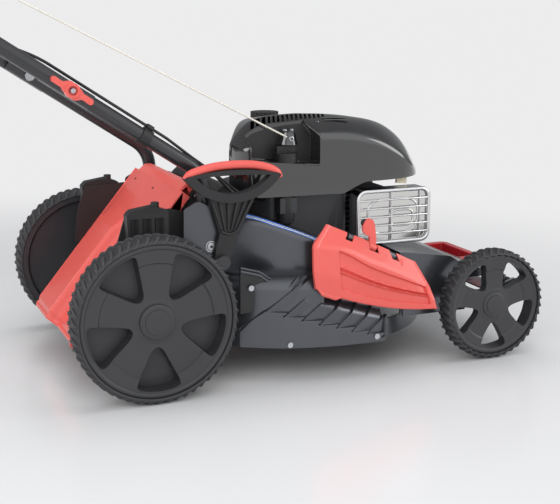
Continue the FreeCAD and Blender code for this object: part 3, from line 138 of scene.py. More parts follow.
@dataclass(frozen=True)
class Finish:
    """One real finish, from its colour to the size of its grain.

    Attributes:
        name: The finish in a maker's words.
        colour: sRGB hex value.
        metallic: 0 or 1 for most surfaces.
        roughness: Mean roughness.
        grain_mm: Size of the fine relief.
        relief_mm: Depth of the fine relief.
        mottle: How much colour varies over a hand's width.
        coat: Weight of a clear coat.
        pattern: How the relief is laid.
        dust: Share of pale wear on edges.
        ior: Index of refraction.
    """

    name: str
    colour: str
    metallic: float = 0.0
    roughness: float = 0.45
    grain_mm: float = 1.2
    relief_mm: float = 0.03
    mottle: float = 0.08
    coat: float = 0.0
    pattern: Pattern = Pattern.GRAIN
    dust: float = 0.12
    ior: float = 1.5

    def make(self) -> bpy.types.Material:
        """Build the material, or return it where it exists.

        Returns:
            The material with this finish's name.
        """
        known = bpy.data.materials.get(self.name)
        if known:
            return known
        material = bpy.data.materials.new(self.name)
        material.use_nodes = True
        tree = material.node_tree
        tree.nodes.clear()
        out = add(tree, "ShaderNodeOutputMaterial")
        shader = add(tree, "ShaderNodeBsdfPrincipled", values={
            "Metallic": self.metallic, "Coat Weight": self.coat, "Coat Roughness": 0.06})
        if not self.metallic:
            shader.inputs["IOR"].default_value = self.ior
        tree.links.new(shader.outputs[0], out.inputs["Surface"])
        place = add(tree, "ShaderNodeTexCoord").outputs["Object"]
        stretch = {Pattern.BRUSHED: (1.0, 1.0, 24.0)}.get(self.pattern, (1.0, 1.0, 1.0))
        laid = add(tree, "ShaderNodeMapping", links={"Vector": place}, values={"Scale": stretch}).outputs[0]
        # slow change of colour over about 90 mm
        cloud = add(tree, "ShaderNodeTexNoise", links={"Vector": place}, values={
            "Scale": 1 / (90 * MM), "Detail": 3.0, "Roughness": 0.6})
        if self.pattern is Pattern.BRAID:
            fine = add(tree, "ShaderNodeTexWave", {"bands_direction": "DIAGONAL"}, {"Vector": place}, {
                "Scale": 0.5 / (self.grain_mm * MM), "Distortion": 0.6}).outputs["Fac"]
        else:
            detail = 6.0 if self.pattern is Pattern.CAST else 2.5
            fine = add(tree, "ShaderNodeTexNoise", links={"Vector": laid}, values={
                "Scale": 1 / (self.grain_mm * MM), "Detail": detail, "Roughness": 0.65}).outputs["Fac"]
        base = linear(self.colour)
        dark = tuple(channel * (1 - self.mottle) for channel in base[:3]) + (1.0,)
        pale = tuple(min(1.0, channel * (1 + self.mottle) + 0.004) for channel in base[:3]) + (1.0,)
        tone = add(tree, "ShaderNodeMix", {"data_type": "RGBA"}, {0: cloud.outputs["Fac"]}, {6: dark, 7: pale})
        edge = add(tree, "ShaderNodeMapRange", {"clamp": True},
                   {0: add(tree, "ShaderNodeNewGeometry").outputs["Pointiness"]}, {1: 0.53, 2: 0.62})
        worn = tuple(min(1.0, channel * 1.5 + 0.05) for channel in base[:3]) + (1.0,)
        wear = add(tree, "ShaderNodeMath", {"operation": "MULTIPLY"}, {0: edge.outputs[0]}, {1: self.dust})
        colour = add(tree, "ShaderNodeMix", {"data_type": "RGBA"},
                     {0: wear.outputs[0], 6: tone.outputs[2]}, {7: worn})
        tree.links.new(colour.outputs[2], shader.inputs["Base Color"])
        rough = add(tree, "ShaderNodeMapRange", links={0: fine}, values={
            3: max(0.02, self.roughness - 0.07), 4: min(1.0, self.roughness + 0.07)})
        tree.links.new(rough.outputs[0], shader.inputs["Roughness"])
        relief = add(tree, "ShaderNodeBump", links={"Height": fine}, values={
            "Strength": 0.5, "Distance": self.relief_mm * MM})
        tree.links.new(relief.outputs[0], shader.inputs["Normal"])
        return material


# moulded polypropylene: even colour, soft gloss, a grain that only shows close up
RED = Finish("coral_red_polypropylene_moulded", "D7564E", roughness=0.32, grain_mm=0.9, relief_mm=0.015,
             mottle=0.05, coat=0.2)
# high-gloss moulding with clear reflections; its deep colour is the red plastic painted darker: painted shade of the
# shadow the handle sits in
RED_IN_PAINTED_SHADE = Finish("gloss_red_handle_painted_shade", "B01C26", roughness=0.14, relief_mm=0.008, mottle=0.05, coat=0.6)
# metallic powder coat on pressed steel: grey sheen that follows the panel's curves, faint orange peel
DECK = Finish("anthracite_metallic_powder_coat", "54565B", metallic=0.85, roughness=0.3, grain_mm=0.8,
              relief_mm=0.02, coat=0.3)
# gloss ABS: nearly black, its shape read from reflections
COWL = Finish("gloss_black_abs_engine_housing", "101012", roughness=0.1, grain_mm=3.0, relief_mm=0.006, coat=0.7,
              mottle=0.03, ior=1.8)
# grained polypropylene: dull black, its ribs read by shade alone
BLACK = Finish("black_polypropylene_fine_grain", "151517", roughness=0.48, grain_mm=0.8, relief_mm=0.04)
# wheel plastic: dark grey, a little shinier than the small parts
WHEEL = Finish("dark_grey_polypropylene_wheel", "2E2E31", roughness=0.42, grain_mm=0.9)
# moulded rubber: matt, paler where its edges wear
TYRE = Finish("moulded_rubber_tread", "29292B", roughness=0.6, grain_mm=1.4, relief_mm=0.08, dust=0.25)
# satin powder coat: long soft highlights along the tubes
TUBE = Finish("satin_black_powder_coated_tube", "232326", roughness=0.3, grain_mm=0.7, relief_mm=0.015, coat=0.25)
# zinc plating: bright and slightly cloudy
ZINC = Finish("zinc_plated_steel", "B9BBBF", metallic=1.0, roughness=0.3, grain_mm=1.5, relief_mm=0.02)
# bright rolled stainless sheet: sharp reflections
STAINLESS = Finish("bright_stainless_sheet", "D6D5D3", metallic=1.0, roughness=0.16, grain_mm=2.0, relief_mm=0.01,
                   mottle=0.04)
# polished pressed steel: faint drawn lines across bright highlights
POLISHED = Finish("polished_pressed_steel_sheet", "DADADB", metallic=1.0, roughness=0.2, grain_mm=0.9,
                  relief_mm=0.012, pattern=Pattern.BRUSHED)
# die-cast alloy: dull metal with a coarse skin
ALLOY = Finish("die_cast_alloy_engine_block", "4A4B4E", metallic=0.7, roughness=0.52, grain_mm=1.6, relief_mm=0.12,
               pattern=Pattern.CAST)
# steel darkened by heat: brownish and dull, with a coarse skin
IRON = Finish("heat_darkened_steel", "3A3735", metallic=0.8, roughness=0.55, grain_mm=1.8, relief_mm=0.1,
              pattern=Pattern.CAST)
# closed cell foam: deep matt with visible cells
FOAM = Finish("closed_cell_foam_grip", "161617", roughness=0.9, grain_mm=1.1, relief_mm=0.2)
# braided cord: off-white and matt, with slanting strands that show close up
ROPE = Finish("off_white_braided_polyester_cord", "DDD9CE", roughness=0.85, relief_mm=0.3, pattern=Pattern.BRAID)
# glaze: clean white with small highlights
CERAMIC = Finish("white_glazed_insulator", "E6E3DC", roughness=0.2)
# heat shield tab: cream and fairly dull
CREAM = Finish("cream_heat_shield_tab", "D9CDB2", roughness=0.5)
# gloss lacquer: thin even lines that shine a little more than the deck
BLUE_LINE = Finish("blue_lacquer_stripe", "2F62B4", roughness=0.2, mottle=0.02)
WHITE_LINE = Finish("white_lacquer_stripe", "E8EAEE", roughness=0.2, mottle=0.02)
BLACK_LINE = Finish("black_lacquer_stripe", "101113", roughness=0.2, mottle=0.02)

# nodes that keep their own shape, with the finish of each
NODE_FINISH: dict[str, Finish] = {
    "deck_shell": DECK, "front_cover": DECK, "handle_brackets": DECK, "rear_chute": BLACK, "rear_bridge": BLACK,
    "height_lever": BLACK, "starter_grip": BLACK, "fuel_cap": BLACK, "oil_cap": BLACK, "cable_clips": BLACK,
    # the front handle gets the red darkened by painted shade
    "fuel_tank": BLACK, "air_filter": BLACK, "control_cables": BLACK, "front_handle": RED_IN_PAINTED_SHADE,
    "wing_nut_left": RED, "wing_nut_right": RED, "lower_handle_tubes": TUBE, "upper_handle": TUBE,
    "brake_bail": TUBE, "rear_axle": TUBE, "side_flap_pin": TUBE, "front_axle": ZINC, "height_link": ZINC,
    "bracket_bolts": ZINC, "clamp_bolts": ZINC, "body_screws": ZINC, "rear_flap_pin": ZINC, "blade_bolt": ZINC,
    "rope_guide": ZINC, "engine_block": ALLOY, "starter_pulley": ALLOY, "muffler": STAINLESS, "flywheel": IRON,
    "crankshaft": IRON, "blade_adapter": IRON, "blade": IRON, "handle_grip": FOAM, "starter_rope": ROPE,
    "rope_tail": ROPE, "spark_plug": CERAMIC}
# edge radii that differ from the usual one, in millimetres
EDGE_RADII = {"deck_shell": 1.2, "front_cover": 1.4, "height_lever": 1.6, "front_handle": 2.0, "rear_chute": 1.0}
USUAL_EDGE = 0.8


# ---------------------------------------------------------------- mesh helpers
def body_of_node(node: str) -> str:
    """Name of the body that a CAD node belongs to."""
    bodies = frame["record"]["behaviour"]["bodies"]
    return next(body for body, nodes in bodies.items() if node in nodes)


def keep_mesh(name: str, mesh: bmesh.types.BMesh, finish: Finish, body: str, angle: float = 32.0,
              nodes: Sequence[str] = (), over: tuple = ()) -> bpy.types.Object:
    """Turn a finished bmesh into a piece of the mower.

    Args:
        name: The piece's name.
        mesh: Its mesh, in the row's frame. It is freed here.
        finish: The finish of its surface.
        body: The body that it moves with.
        angle: Edges sharper than this many degrees stay sharp.
        nodes: CAD nodes that it stands for.
        over: For a cord, the two bodies and the places where its cuts start and stop; when given, the piece is baked
            in place and not attached to a body.

    Returns:
        The new object.
    """
    data = bpy.data.meshes.new(name)
    mesh.to_mesh(data)
    mesh.free()
    piece = bpy.data.objects.new(name, data)
    bpy.context.scene.collection.objects.link(piece)
    data.materials.append(finish.make())
    data.shade_smooth()
    data.set_sharp_from_angle(angle=math.radians(angle))
    if over:
        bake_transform(piece)
    else:
        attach(piece, body)
    if nodes:
        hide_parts(*nodes)
    LOG.info("piece %s: %d faces on %s", name, len(data.polygons), body)
    return piece


def merged_copy(node: str) -> bmesh.types.BMesh:
    """Copy of a CAD node's mesh with its corners merged and its flat faces joined."""
    mesh = bmesh.new()
    mesh.from_mesh(frame["nodes"][node].data)
    bmesh.ops.remove_doubles(mesh, verts=mesh.verts[:], dist=2e-6)
    bmesh.ops.dissolve_degenerate(mesh, edges=mesh.edges[:], dist=1e-6)
    bmesh.ops.dissolve_limit(mesh, angle_limit=math.radians(0.6), verts=mesh.verts[:], edges=mesh.edges[:])
    return mesh


def soften(piece: bpy.types.Object, radius_mm: float) -> None:
    """Round the sharp edges of a piece, as a mould or press leaves them."""
    bevel = piece.modifiers.new("edge_radius", "BEVEL")
    bevel.width = radius_mm * MM
    bevel.segments = 2
    bevel.limit_method = "ANGLE"
    bevel.angle_limit = math.radians(30)
    bevel.harden_normals = True
    bevel.use_clamp_overlap = True


@dataclass(frozen=True)
class Cord:
    """A cord between two bodies, cut into pieces along an axis and baked in place.

    Attributes:
        first: Body at its start; it is not used.
        second: Body at its end; it is not used.
        axis: Direction along which the cuts are spread.
        reach: Where the cuts start and stop along the axis in metres, or None for the whole cord.
        cuts: Number of pieces that this stretch is cut into.
    """

    first: str
    second: str
    axis: tuple[float, float, float]
    reach: tuple[float, float] | None = None
    cuts: int = 24

    def build(self, node: str) -> bpy.types.Object:
        """Replace the cord's node by the same cord, cut into pieces along its axis and baked in place."""
        mesh = merged_copy(node)
        along = Vector(self.axis).normalized()
        places = [vert.co.dot(along) for vert in mesh.verts]
        low, high = self.reach or (min(places), max(places))
        for step in range(self.cuts + 1):
            place = low + (high - low) * (step + 0.01) / (self.cuts + 0.02)
            bmesh.ops.bisect_plane(mesh, geom=mesh.verts[:] + mesh.edges[:] + mesh.faces[:], dist=1e-7,
                                   plane_co=along * place, plane_no=along)
        return keep_mesh(f"dressed_{node}", mesh, NODE_FINISH[node], "", nodes=(node,),
                         over=(self.first, self.second, along * low, along * high))


CORDS = {
    "control_cables": Cord("chassis", "upper_handle_unit", (-0.8949, 0, 0.4462), (0.17, 0.35)),
    "starter_rope": Cord("chassis", "upper_handle_unit", (-1, 0, 0), cuts=60),
    "rope_tail": Cord("upper_handle_unit", "starter_pull", (-0.4462, 0, 0.8949), cuts=8)}


def dress_node(node: str) -> None:
    """Replace a CAD node by its own shape with rounded edges and its finish."""
    if node in CORDS:
        CORDS[node].build(node)
        return
    piece = keep_mesh(f"dressed_{node}", merged_copy(node), NODE_FINISH[node], body_of_node(node), nodes=(node,))
    soften(piece, EDGE_RADII.get(node, USUAL_EDGE))


# ---------------------------------------------------------------- mesh builders
Ring = list[Vector]


def loft(mesh: bmesh.types.BMesh, rings: Sequence[Ring], loop: bool = False) -> None:
    """Join rings of points, each closed on itself, into a skin.

    Args:
        mesh: The mesh to add to.
        rings: Rings with the same number of points.
        loop: Whether the last ring joins the first. Otherwise both ends are filled.
    """
    rows = [[mesh.verts.new(point) for point in ring] for ring in rings]
    pairs = list(zip(rows, rows[1:]))
    if loop:
        pairs.append((rows[-1], rows[0]))
    for near, far in pairs:
        for index in range(len(near)):
            after = (index + 1) % len(near)
            mesh.faces.new((near[index], near[after], far[after], far[index]))
    if not loop:
        mesh.faces.new(list(reversed(rows[0])))
        mesh.faces.new(rows[-1])


def outward(mesh: bmesh.types.BMesh) -> bmesh.types.BMesh:
    """Turn the normals of closed shells outward."""
    bmesh.ops.recalc_face_normals(mesh, faces=mesh.faces[:])
    return mesh


def circle(count: int) -> list[float]:
    """Angles of a full turn in equal steps."""
    return [2 * math.pi * step / count for step in range(count)]


def bar(mesh: bmesh.types.BMesh, path: Sequence[Vector], radius_mm: float | Sequence[float],
        sides: int = 12) -> None:
    """Round bar along a path, with a radius for each point if wanted.

    Args:
        mesh: The mesh to add to.
        path: Points in metres.
        radius_mm: One radius, or one for each point.
        sides: Corners of the section.
    """
    radii = radius_mm if isinstance(radius_mm, (list, tuple)) else [radius_mm] * len(path)
    heading = (path[1] - path[0]).normalized()
    across = heading.orthogonal().normalized()
    rings = []
    for index, point in enumerate(path):
        before, after = path[max(0, index - 1)], path[min(len(path) - 1, index + 1)]
        turned = (after - before).normalized()
        across = (across - turned * across.dot(turned)).normalized()
        side = turned.cross(across)
        rings.append([point + (across * math.cos(angle) + side * math.sin(angle)) * radii[index] * MM
                      for angle in circle(sides)])
    loft(mesh, rings)


def slab(mesh: bmesh.types.BMesh, outline: Sequence[Vector], depth: Vector) -> None:
    """Flat plate from an outline and the vector through its thickness."""
    loft(mesh, [list(outline), [point + depth for point in outline]])


def disc(mesh: bmesh.types.BMesh, centre: Vector, axis: Vector, profile: Sequence[tuple[float, float]],
         sides: int = 48) -> None:
    """Turned piece: (radius, height) pairs in millimetres along an axis, from its foot to its top."""
    across = axis.orthogonal().normalized()
    side = axis.cross(across).normalized()
    rings = []
    for radius, height in profile:
        foot = centre + axis * height * MM
        rings.append([foot + (across * math.cos(angle) + side * math.sin(angle)) * max(radius, 0.02) * MM
                      for angle in circle(sides)])
    loft(mesh, rings)


def height_over(points: Sequence[tuple[float, float]], x: float) -> float:
    """Height of a polyline over x."""
    for (x0, y0), (x1, y1) in zip(points, points[1:]):
        if x <= x1:
            return y0 + (y1 - y0) * max(0.0, x - x0) / (x1 - x0)
    return points[-1][1]


def spline(points: Sequence[Vector], steps: int = 8) -> list[Vector]:
    """Smooth path through points, with some steps between each two."""
    path = []
    last = len(points) - 1
    for index in range(last):
        a, b = points[max(0, index - 1)], points[index]
        c, d = points[index + 1], points[min(last, index + 2)]
        for step in range(steps):
            t = step / steps
            path.append(0.5 * (2 * b + (c - a) * t + (2 * a - 5 * b + 4 * c - d) * t ** 2
                               + (3 * b - a - 3 * c + d) * t ** 3))
    path.append(points[last].copy())
    return path


# ---------------------------------------------------------------- repeats by Geometry Nodes
@dataclass(frozen=True)
class Repeat:
    """Copies of a small mesh, each turned one more step than the last.

    Attributes:
        count: Number of copies.
        turn: Euler turn for each copy, in radians.
        pivot: Point that the turns go round.
    """

    count: int
    turn: tuple[float, float, float]
    pivot: tuple[float, float, float]

    @staticmethod
    def tree() -> bpy.types.NodeTree:
        """The node tree shared by all repeats."""
        known = bpy.data.node_groups.get("repeat_copies")
        if known:
            return known
        tree = bpy.data.node_groups.new("repeat_copies", "GeometryNodeTree")
        tree.is_modifier = True
        for name, kind in (("Geometry", "Geometry"), ("Count", "Int"), ("Turn", "Vector"), ("Pivot", "Vector"),
                           ("Finish", "Material")):
            tree.interface.new_socket(name=name, in_out="INPUT", socket_type=f"NodeSocket{kind}")
        tree.interface.new_socket(name="Geometry", in_out="OUTPUT", socket_type="NodeSocketGeometry")
        given = add(tree, "NodeGroupInput").outputs
        index = add(tree, "GeometryNodeInputIndex").outputs[0]
        turn = add(tree, "ShaderNodeVectorMath", {"operation": "SCALE"}, {0: given["Turn"], 3: index})
        turning = add(tree, "FunctionNodeEulerToRotation", links={0: turn.outputs[0]})
        points = add(tree, "GeometryNodePoints", links={"Count": given["Count"]})
        copies = add(tree, "GeometryNodeInstanceOnPoints", links={
            "Points": points.outputs[0], "Instance": given["Geometry"]})
        turned = add(tree, "GeometryNodeRotateInstances", links={
            "Instances": copies.outputs[0], "Rotation": turning.outputs[0], "Pivot Point": given["Pivot"]},
            values={"Local Space": False})
        real = add(tree, "GeometryNodeRealizeInstances", links={0: turned.outputs[0]})
        dressed = add(tree, "GeometryNodeSetMaterial", links={
            "Geometry": real.outputs[0], "Material": given["Finish"]})
        add(tree, "NodeGroupOutput", links={0: dressed.outputs[0]})
        return tree

    def of(self, mesh: bmesh.types.BMesh, finish: Finish) -> bmesh.types.BMesh:
        """Run the node tree on a mesh and return the copies as plain mesh.

        Args:
            mesh: The mesh to copy. It is freed here.
            finish: Finish of the copies.

        Returns:
            All copies in one mesh.
        """
        data = bpy.data.meshes.new("repeat_source")
        outward(mesh).to_mesh(data)
        mesh.free()
        holder = bpy.data.objects.new("repeat_source", data)
        bpy.context.scene.collection.objects.link(holder)
        modifier = holder.modifiers.new("repeat", "NODES")
        modifier.node_group = self.tree()
        values = {"Count": self.count, "Turn": self.turn, "Pivot": self.pivot, "Finish": finish.make()}
        for socket in self.tree().interface.items_tree:
            if socket.in_out == "INPUT" and socket.name in values:
                modifier[socket.identifier] = values[socket.name]
        graph = bpy.context.evaluated_depsgraph_get()
        made = bpy.data.meshes.new_from_object(holder.evaluated_get(graph))
        result = bmesh.new()
        result.from_mesh(made)
        bpy.data.objects.remove(holder)
        bpy.data.meshes.remove(made)
        return result


def joined(parts: Sequence[bmesh.types.BMesh]) -> bmesh.types.BMesh:
    """One mesh from several, which are freed."""
    result = bmesh.new()
    for part in parts:
        data = bpy.data.meshes.new("part")
        part.to_mesh(data)
        part.free()
        result.from_mesh(data)
        bpy.data.meshes.remove(data)
    return result


def carve(piece: bpy.types.Object, shapes: Sequence[bmesh.types.BMesh]) -> None:
    """Cut closed shapes out of a piece. The shapes are freed."""
    cutters = []
    for index, shape in enumerate(shapes):
        data = bpy.data.meshes.new(f"cutter_{index}")
        shape.to_mesh(data)
        shape.free()
        cutter = bpy.data.objects.new(f"cutter_{index}", data)
        bpy.context.scene.collection.objects.link(cutter)
        cut = piece.modifiers.new(f"cut_{index}", "BOOLEAN")
        cut.operation = "DIFFERENCE"
        cut.solver = "EXACT"
        cut.object = cutter
        cutters.append(cutter)
    graph = bpy.context.evaluated_depsgraph_get()
    made = bpy.data.meshes.new_from_object(piece.evaluated_get(graph))
    piece.modifiers.clear()
    old = piece.data
    piece.data = made
    bpy.data.meshes.remove(old)
    for cutter in cutters:
        data = cutter.data
        bpy.data.objects.remove(cutter)
        bpy.data.meshes.remove(data)


# ---------------------------------------------------------------- plates with relief and windows
@dataclass
class Plate:
    """Closed plate between two layers of one grid, with cells left out where a window is.

    Attributes:
        columns: Cells along the first way.
        rows: Cells along the second way.
        front: Point of the front layer from shares of both ways.
        back: Point of the back layer.
        wraps: Whether the first way closes on itself.
        hole: Signed inset of a place into a window in millimetres, above 0 inside it.
        moved: Shares of both ways after a place is drawn onto a window's edge.
    """

    columns: int
    rows: int
    front: Callable[[float, float], Vector]
    back: Callable[[float, float], Vector]
    wraps: bool = False
    hole: Callable[[float, float], float] | None = None
    moved: Callable[[float, float], tuple[float, float]] | None = None

    def build(self) -> bmesh.types.BMesh:
        """Make the plate's mesh."""
        mesh = bmesh.new()
        count = self.columns if self.wraps else self.columns + 1
        places, layers, inside = {}, ({}, {}), {}
        for i in range(count):
            for j in range(self.rows + 1):
                u, v = i / self.columns, j / self.rows
                if self.moved:
                    u, v = self.moved(u, v)
                places[i, j] = (u, v)
                inside[i, j] = self.hole(u, v) > -0.02 if self.hole else False
        cells = []
        for i in range(self.columns):
            for j in range(self.rows):
                after = (i + 1) % count
                corners = [(i, j), (after, j), (after, j + 1), (i, j + 1)]
                if not all(inside[corner] for corner in corners):
                    cells.append(corners)
        for layer, make in zip(layers, (self.front, self.back)):
            for corners in cells:
                for corner in corners:
                    if corner not in layer:
                        layer[corner] = mesh.verts.new(make(*places[corner]))
        sides = {}
        for corners in cells:
            mesh.faces.new([layers[0][corner] for corner in corners])
            mesh.faces.new([layers[1][corner] for corner in reversed(corners)])
            for near, far in zip(corners, corners[1:] + corners[:1]):
                if (far, near) in sides:
                    del sides[far, near]
                else:
                    sides[near, far] = True
        for near, far in sides:
            mesh.faces.new((layers[0][far], layers[0][near], layers[1][near], layers[1][far]))
        return outward(mesh)


# ---------------------------------------------------------------- wheels
@dataclass(frozen=True)
class WheelStyle:
    """Sizes of one pair of wheels, in millimetres.

    Attributes:
        lugs: Tread lugs on each side of the tyre.
        window: Inner end, outer end, narrow and wide half widths of a window.
        floor: Height of the window's floor over the wheel's inner face, or 0 where it goes through.
        face: Height of the spokes over the inner face.
        web: Height of the back of the spokes.
        hub: Radius of the hub cap.
        step: Radius of the arc across the spokes.
        cells: Grid cells around and across.
    """

    lugs: int
    window: tuple[float, float, float, float]
    floor: float
    face: float
    web: float
    hub: float
    step: float
    cells: tuple[int, int]


class Wheel:
    """Rim with windows, hub cap and lugged tyre of one wheel."""

    def __init__(self, end: str, side: str, style: WheelStyle) -> None:
        """Read the wheel's place and size from its tyre and rim."""
        low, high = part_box(f"{end}_{side}_tyre")
        rim_low, rim_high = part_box(f"{end}_{side}_rim")
        self.name = f"{end}_{side}"
        self.style = style
        self.sign = SIDES[side]
        self.centre = Vector(((low[0] + high[0]) / 2, 0, (low[2] + high[2]) / 2))
        self.inner = min(abs(low[1]), abs(high[1]))
        self.width = (high[1] - low[1]) / MM
        self.radius = (high[2] - low[2]) / 2 / MM
        self.seat = (rim_high[2] - rim_low[2]) / 2 / MM

    def point(self, radius: float, angle: float, height: float) -> Vector:
        """Point at a radius, an angle about the axle and a height over the inner face."""
        return self.centre + Vector((radius * math.cos(angle) * MM, self.sign * (self.inner + height * MM),
                                     radius * math.sin(angle) * MM))

    def inset(self, radius: float, angle: float) -> float:
        """Distance of a place into the nearest window, below 0 outside it."""
        near, far, narrow, wide = self.style.window
        pitch = 2 * math.pi / 5
        offset = (angle + math.pi / 2 + pitch / 2) % pitch - pitch / 2
        along, across = radius * math.cos(offset), abs(radius * math.sin(offset))
        run = (far - narrow) - (near + narrow)
        slope = (wide - narrow) / run
        edge = (narrow + slope * (along - near - narrow) - across) / math.sqrt(1 + slope * slope)
        spread = 4.5
        parts = (edge, far - 1 - radius, along - near)
        return -spread * math.log(sum(math.exp(-part / spread) for part in parts))

    def drawn(self, u: float, v: float) -> tuple[float, float]:
        """Shares of a grid place, drawn onto the top or the foot of a window's wall when near it."""
        radius, angle = self.place(u, v)
        depth = self.inset(radius, angle)
        goal = 0.0 if abs(depth) < 0.8 else 1.5 if self.style.floor and 0.8 <= depth < 2.3 else None
        if goal is None:
            return u, v
        for _ in range(3):
            depth = self.inset(radius, angle)
            by_radius = (self.inset(radius + 0.1, angle) - depth) / 0.1
            by_arc = (self.inset(radius, angle + 0.1 / radius) - depth) / 0.1
            length = by_radius ** 2 + by_arc ** 2
            if length < 1e-6:
                break
            radius += (goal - depth) * by_radius / length
            angle += (goal - depth) * by_arc / length / radius
        return angle / (2 * math.pi), (radius - self.bore) / (self.seat - self.bore)

    @property
    def bore(self) -> float:
        """Radius where the rim's grid starts, under the hub cap."""
        return self.style.hub * 0.4

    def place(self, u: float, v: float) -> tuple[float, float]:
        """Radius and angle of a grid place."""
        return self.bore + (self.seat - self.bore) * v, 2 * math.pi * u

    def face(self, u: float, v: float) -> Vector:
        """Front of the rim: spokes with a step, a slanted ring and a lip."""
        radius, angle = self.place(u, v)
        style = self.style
        lip = self.seat - 9
        height = style.face - 2.4 + 2.4 * smooth(style.step - 0.6, style.step + 0.6, radius)
        height += 1.6 * smooth(style.step, lip, radius)
        height += (self.width - 3 - style.face - 1.6) * smooth(lip - 0.5, lip + 2.5, radius)
        height -= 1.2 * bump_at(radius, self.seat - 2.6, 1.4)
        height -= 2.5 * smooth(self.seat - 1.8, self.seat, radius)
        height += 1.2 * smooth(style.hub + 9, style.hub + 1, radius)
        if style.floor:
            height += (style.floor - height) * smooth(0.05, 1.4, self.inset(radius, angle))
        return self.point(radius, angle, height)

    def rear(self, u: float, v: float) -> Vector:
        """Back of the rim."""
        radius, angle = self.place(u, v)
        height = 3 + (self.style.web - 3) * smooth(self.seat - 9, self.seat - 14, radius)
        return self.point(radius, angle, height)

    def build(self) -> None:
        """Make the rim, the hub cap and the tyre."""
        body = f"{self.name}_wheel"
        around, across = self.style.cells
        through = (lambda u, v: self.inset(*self.place(u, v))) if not self.style.floor else None
        plate = Plate(around, across, self.face, self.rear, wraps=True, hole=through, moved=self.drawn)
        keep_mesh(f"{self.name}_spoked_rim", plate.build(), WHEEL, body, 38, (f"{self.name}_rim",))
        cap = bmesh.new()
        hub, top = self.style.hub, self.width - 2
        foot = self.style.face - 7
        profile = [(hub * 0.5, foot), (hub, foot), (hub, top - 5), (hub - 0.8, top - 3.6), (hub - 3, top - 2.6),
                   (hub * 0.72, top - 2.2), (hub * 0.70, top - 1.0), (hub * 0.45, top - 0.3), (0.4, top)]
        disc(cap, self.point(0, 0, 0), Vector((0, self.sign, 0)), profile, 64)
        keep_mesh(f"{self.name}_domed_cap", outward(cap), WHEEL, body, 28, (f"{self.name}_hub_cap",))
        keep_mesh(f"{self.name}_lugged_tyre", self.tyre(), TYRE, body, 40, (f"{self.name}_tyre",))

    def tyre(self) -> bmesh.types.BMesh:
        """Carcass with hooked lugs over both shoulders."""
        carcass = bmesh.new()
        wide, top = self.width, self.radius - 2.6
        side = [(self.seat + 0.05, 2.0), (top - 5.6, 0.6), (top - 2.4, 2.2), (top - 0.7, 6.5), (top, 13)]
        profile = side + [(radius, wide - height) for radius, height in reversed(side)]
        loft(carcass, [[self.point(radius, angle, height) for radius, height in profile] for angle in circle(160)],
             loop=True)
        pitch = 2 * math.pi / self.style.lugs
        turn = (0.0, -pitch, 0.0)
        rows = []
        for half in (1, -1):
            rows.append(Repeat(self.style.lugs, turn, tuple(self.centre)).of(self.lug(half, pitch), TYRE))
        return joined([outward(carcass), *rows])

    def lug(self, half: int, pitch: float) -> bmesh.types.BMesh:
        """One hooked lug: across half of the tread, over the shoulder and back along the side."""
        mesh = bmesh.new()
        top = self.radius - 2.6
        middle = self.width / 2
        reach = middle - 1
        shift = pitch / 2 if half < 0 else 0.0
        # angle in lug pitches, way out from the middle, drop below the tread, half width, lean of the top
        route = [(0.00, 0.04, 0.0, 1.6, 0), (0.05, 0.30, 0.0, 2.6, 0), (0.16, 0.56, 0.2, 3.0, 6),
                 (0.30, 0.78, 0.8, 3.2, 26), (0.46, 0.92, 2.4, 3.0, 52), (0.66, 0.99, 5.0, 2.4, 78),
                 (0.90, 1.00, 6.2, 1.5, 84), (1.06, 1.00, 5.4, 0.9, 84)]
        rings = []
        for index, (share, out, drop, thick, lean) in enumerate(route):
            angle = shift + share * pitch
            before, after = route[max(0, index - 1)], route[min(len(route) - 1, index + 1)]
            heading = Vector(((after[0] - before[0]) * pitch * top, (after[1] - before[1]) * reach, 0)).normalized()
            side_arc, side_out = -heading.y * thick, heading.x * thick
            lift = {0: 1.2, len(route) - 1: 0.6}.get(index, 2.5)
            up_radius = lift * math.cos(math.radians(lean))
            up_out = lift * math.sin(math.radians(lean))
            ring = []
            for sideways, upward in ((-1, -0.5), (-0.8, 1), (0.8, 1), (1, -0.5)):
                radius = top - drop + up_radius * upward
                place = angle + side_arc * sideways / top
                across = min(reach * out + side_out * sideways * (1 if lean < 60 else 0.25) + up_out * upward,
                             middle - 0.05)
                if lean >= 60:
                    radius -= heading.x * thick * sideways * 0.9
                ring.append(self.point(min(radius, self.radius), place, middle + half * across))
            rings.append(ring)
        loft(mesh, rings)
        return mesh


WHEELS = {
    "rear": WheelStyle(54, (42, 119, 14, 38), 19, 46, 14, 30, 97, (420, 64)),
    "front": WheelStyle(42, (32, 84, 10, 28), 0, 32, 12, 24, 66, (320, 46))}


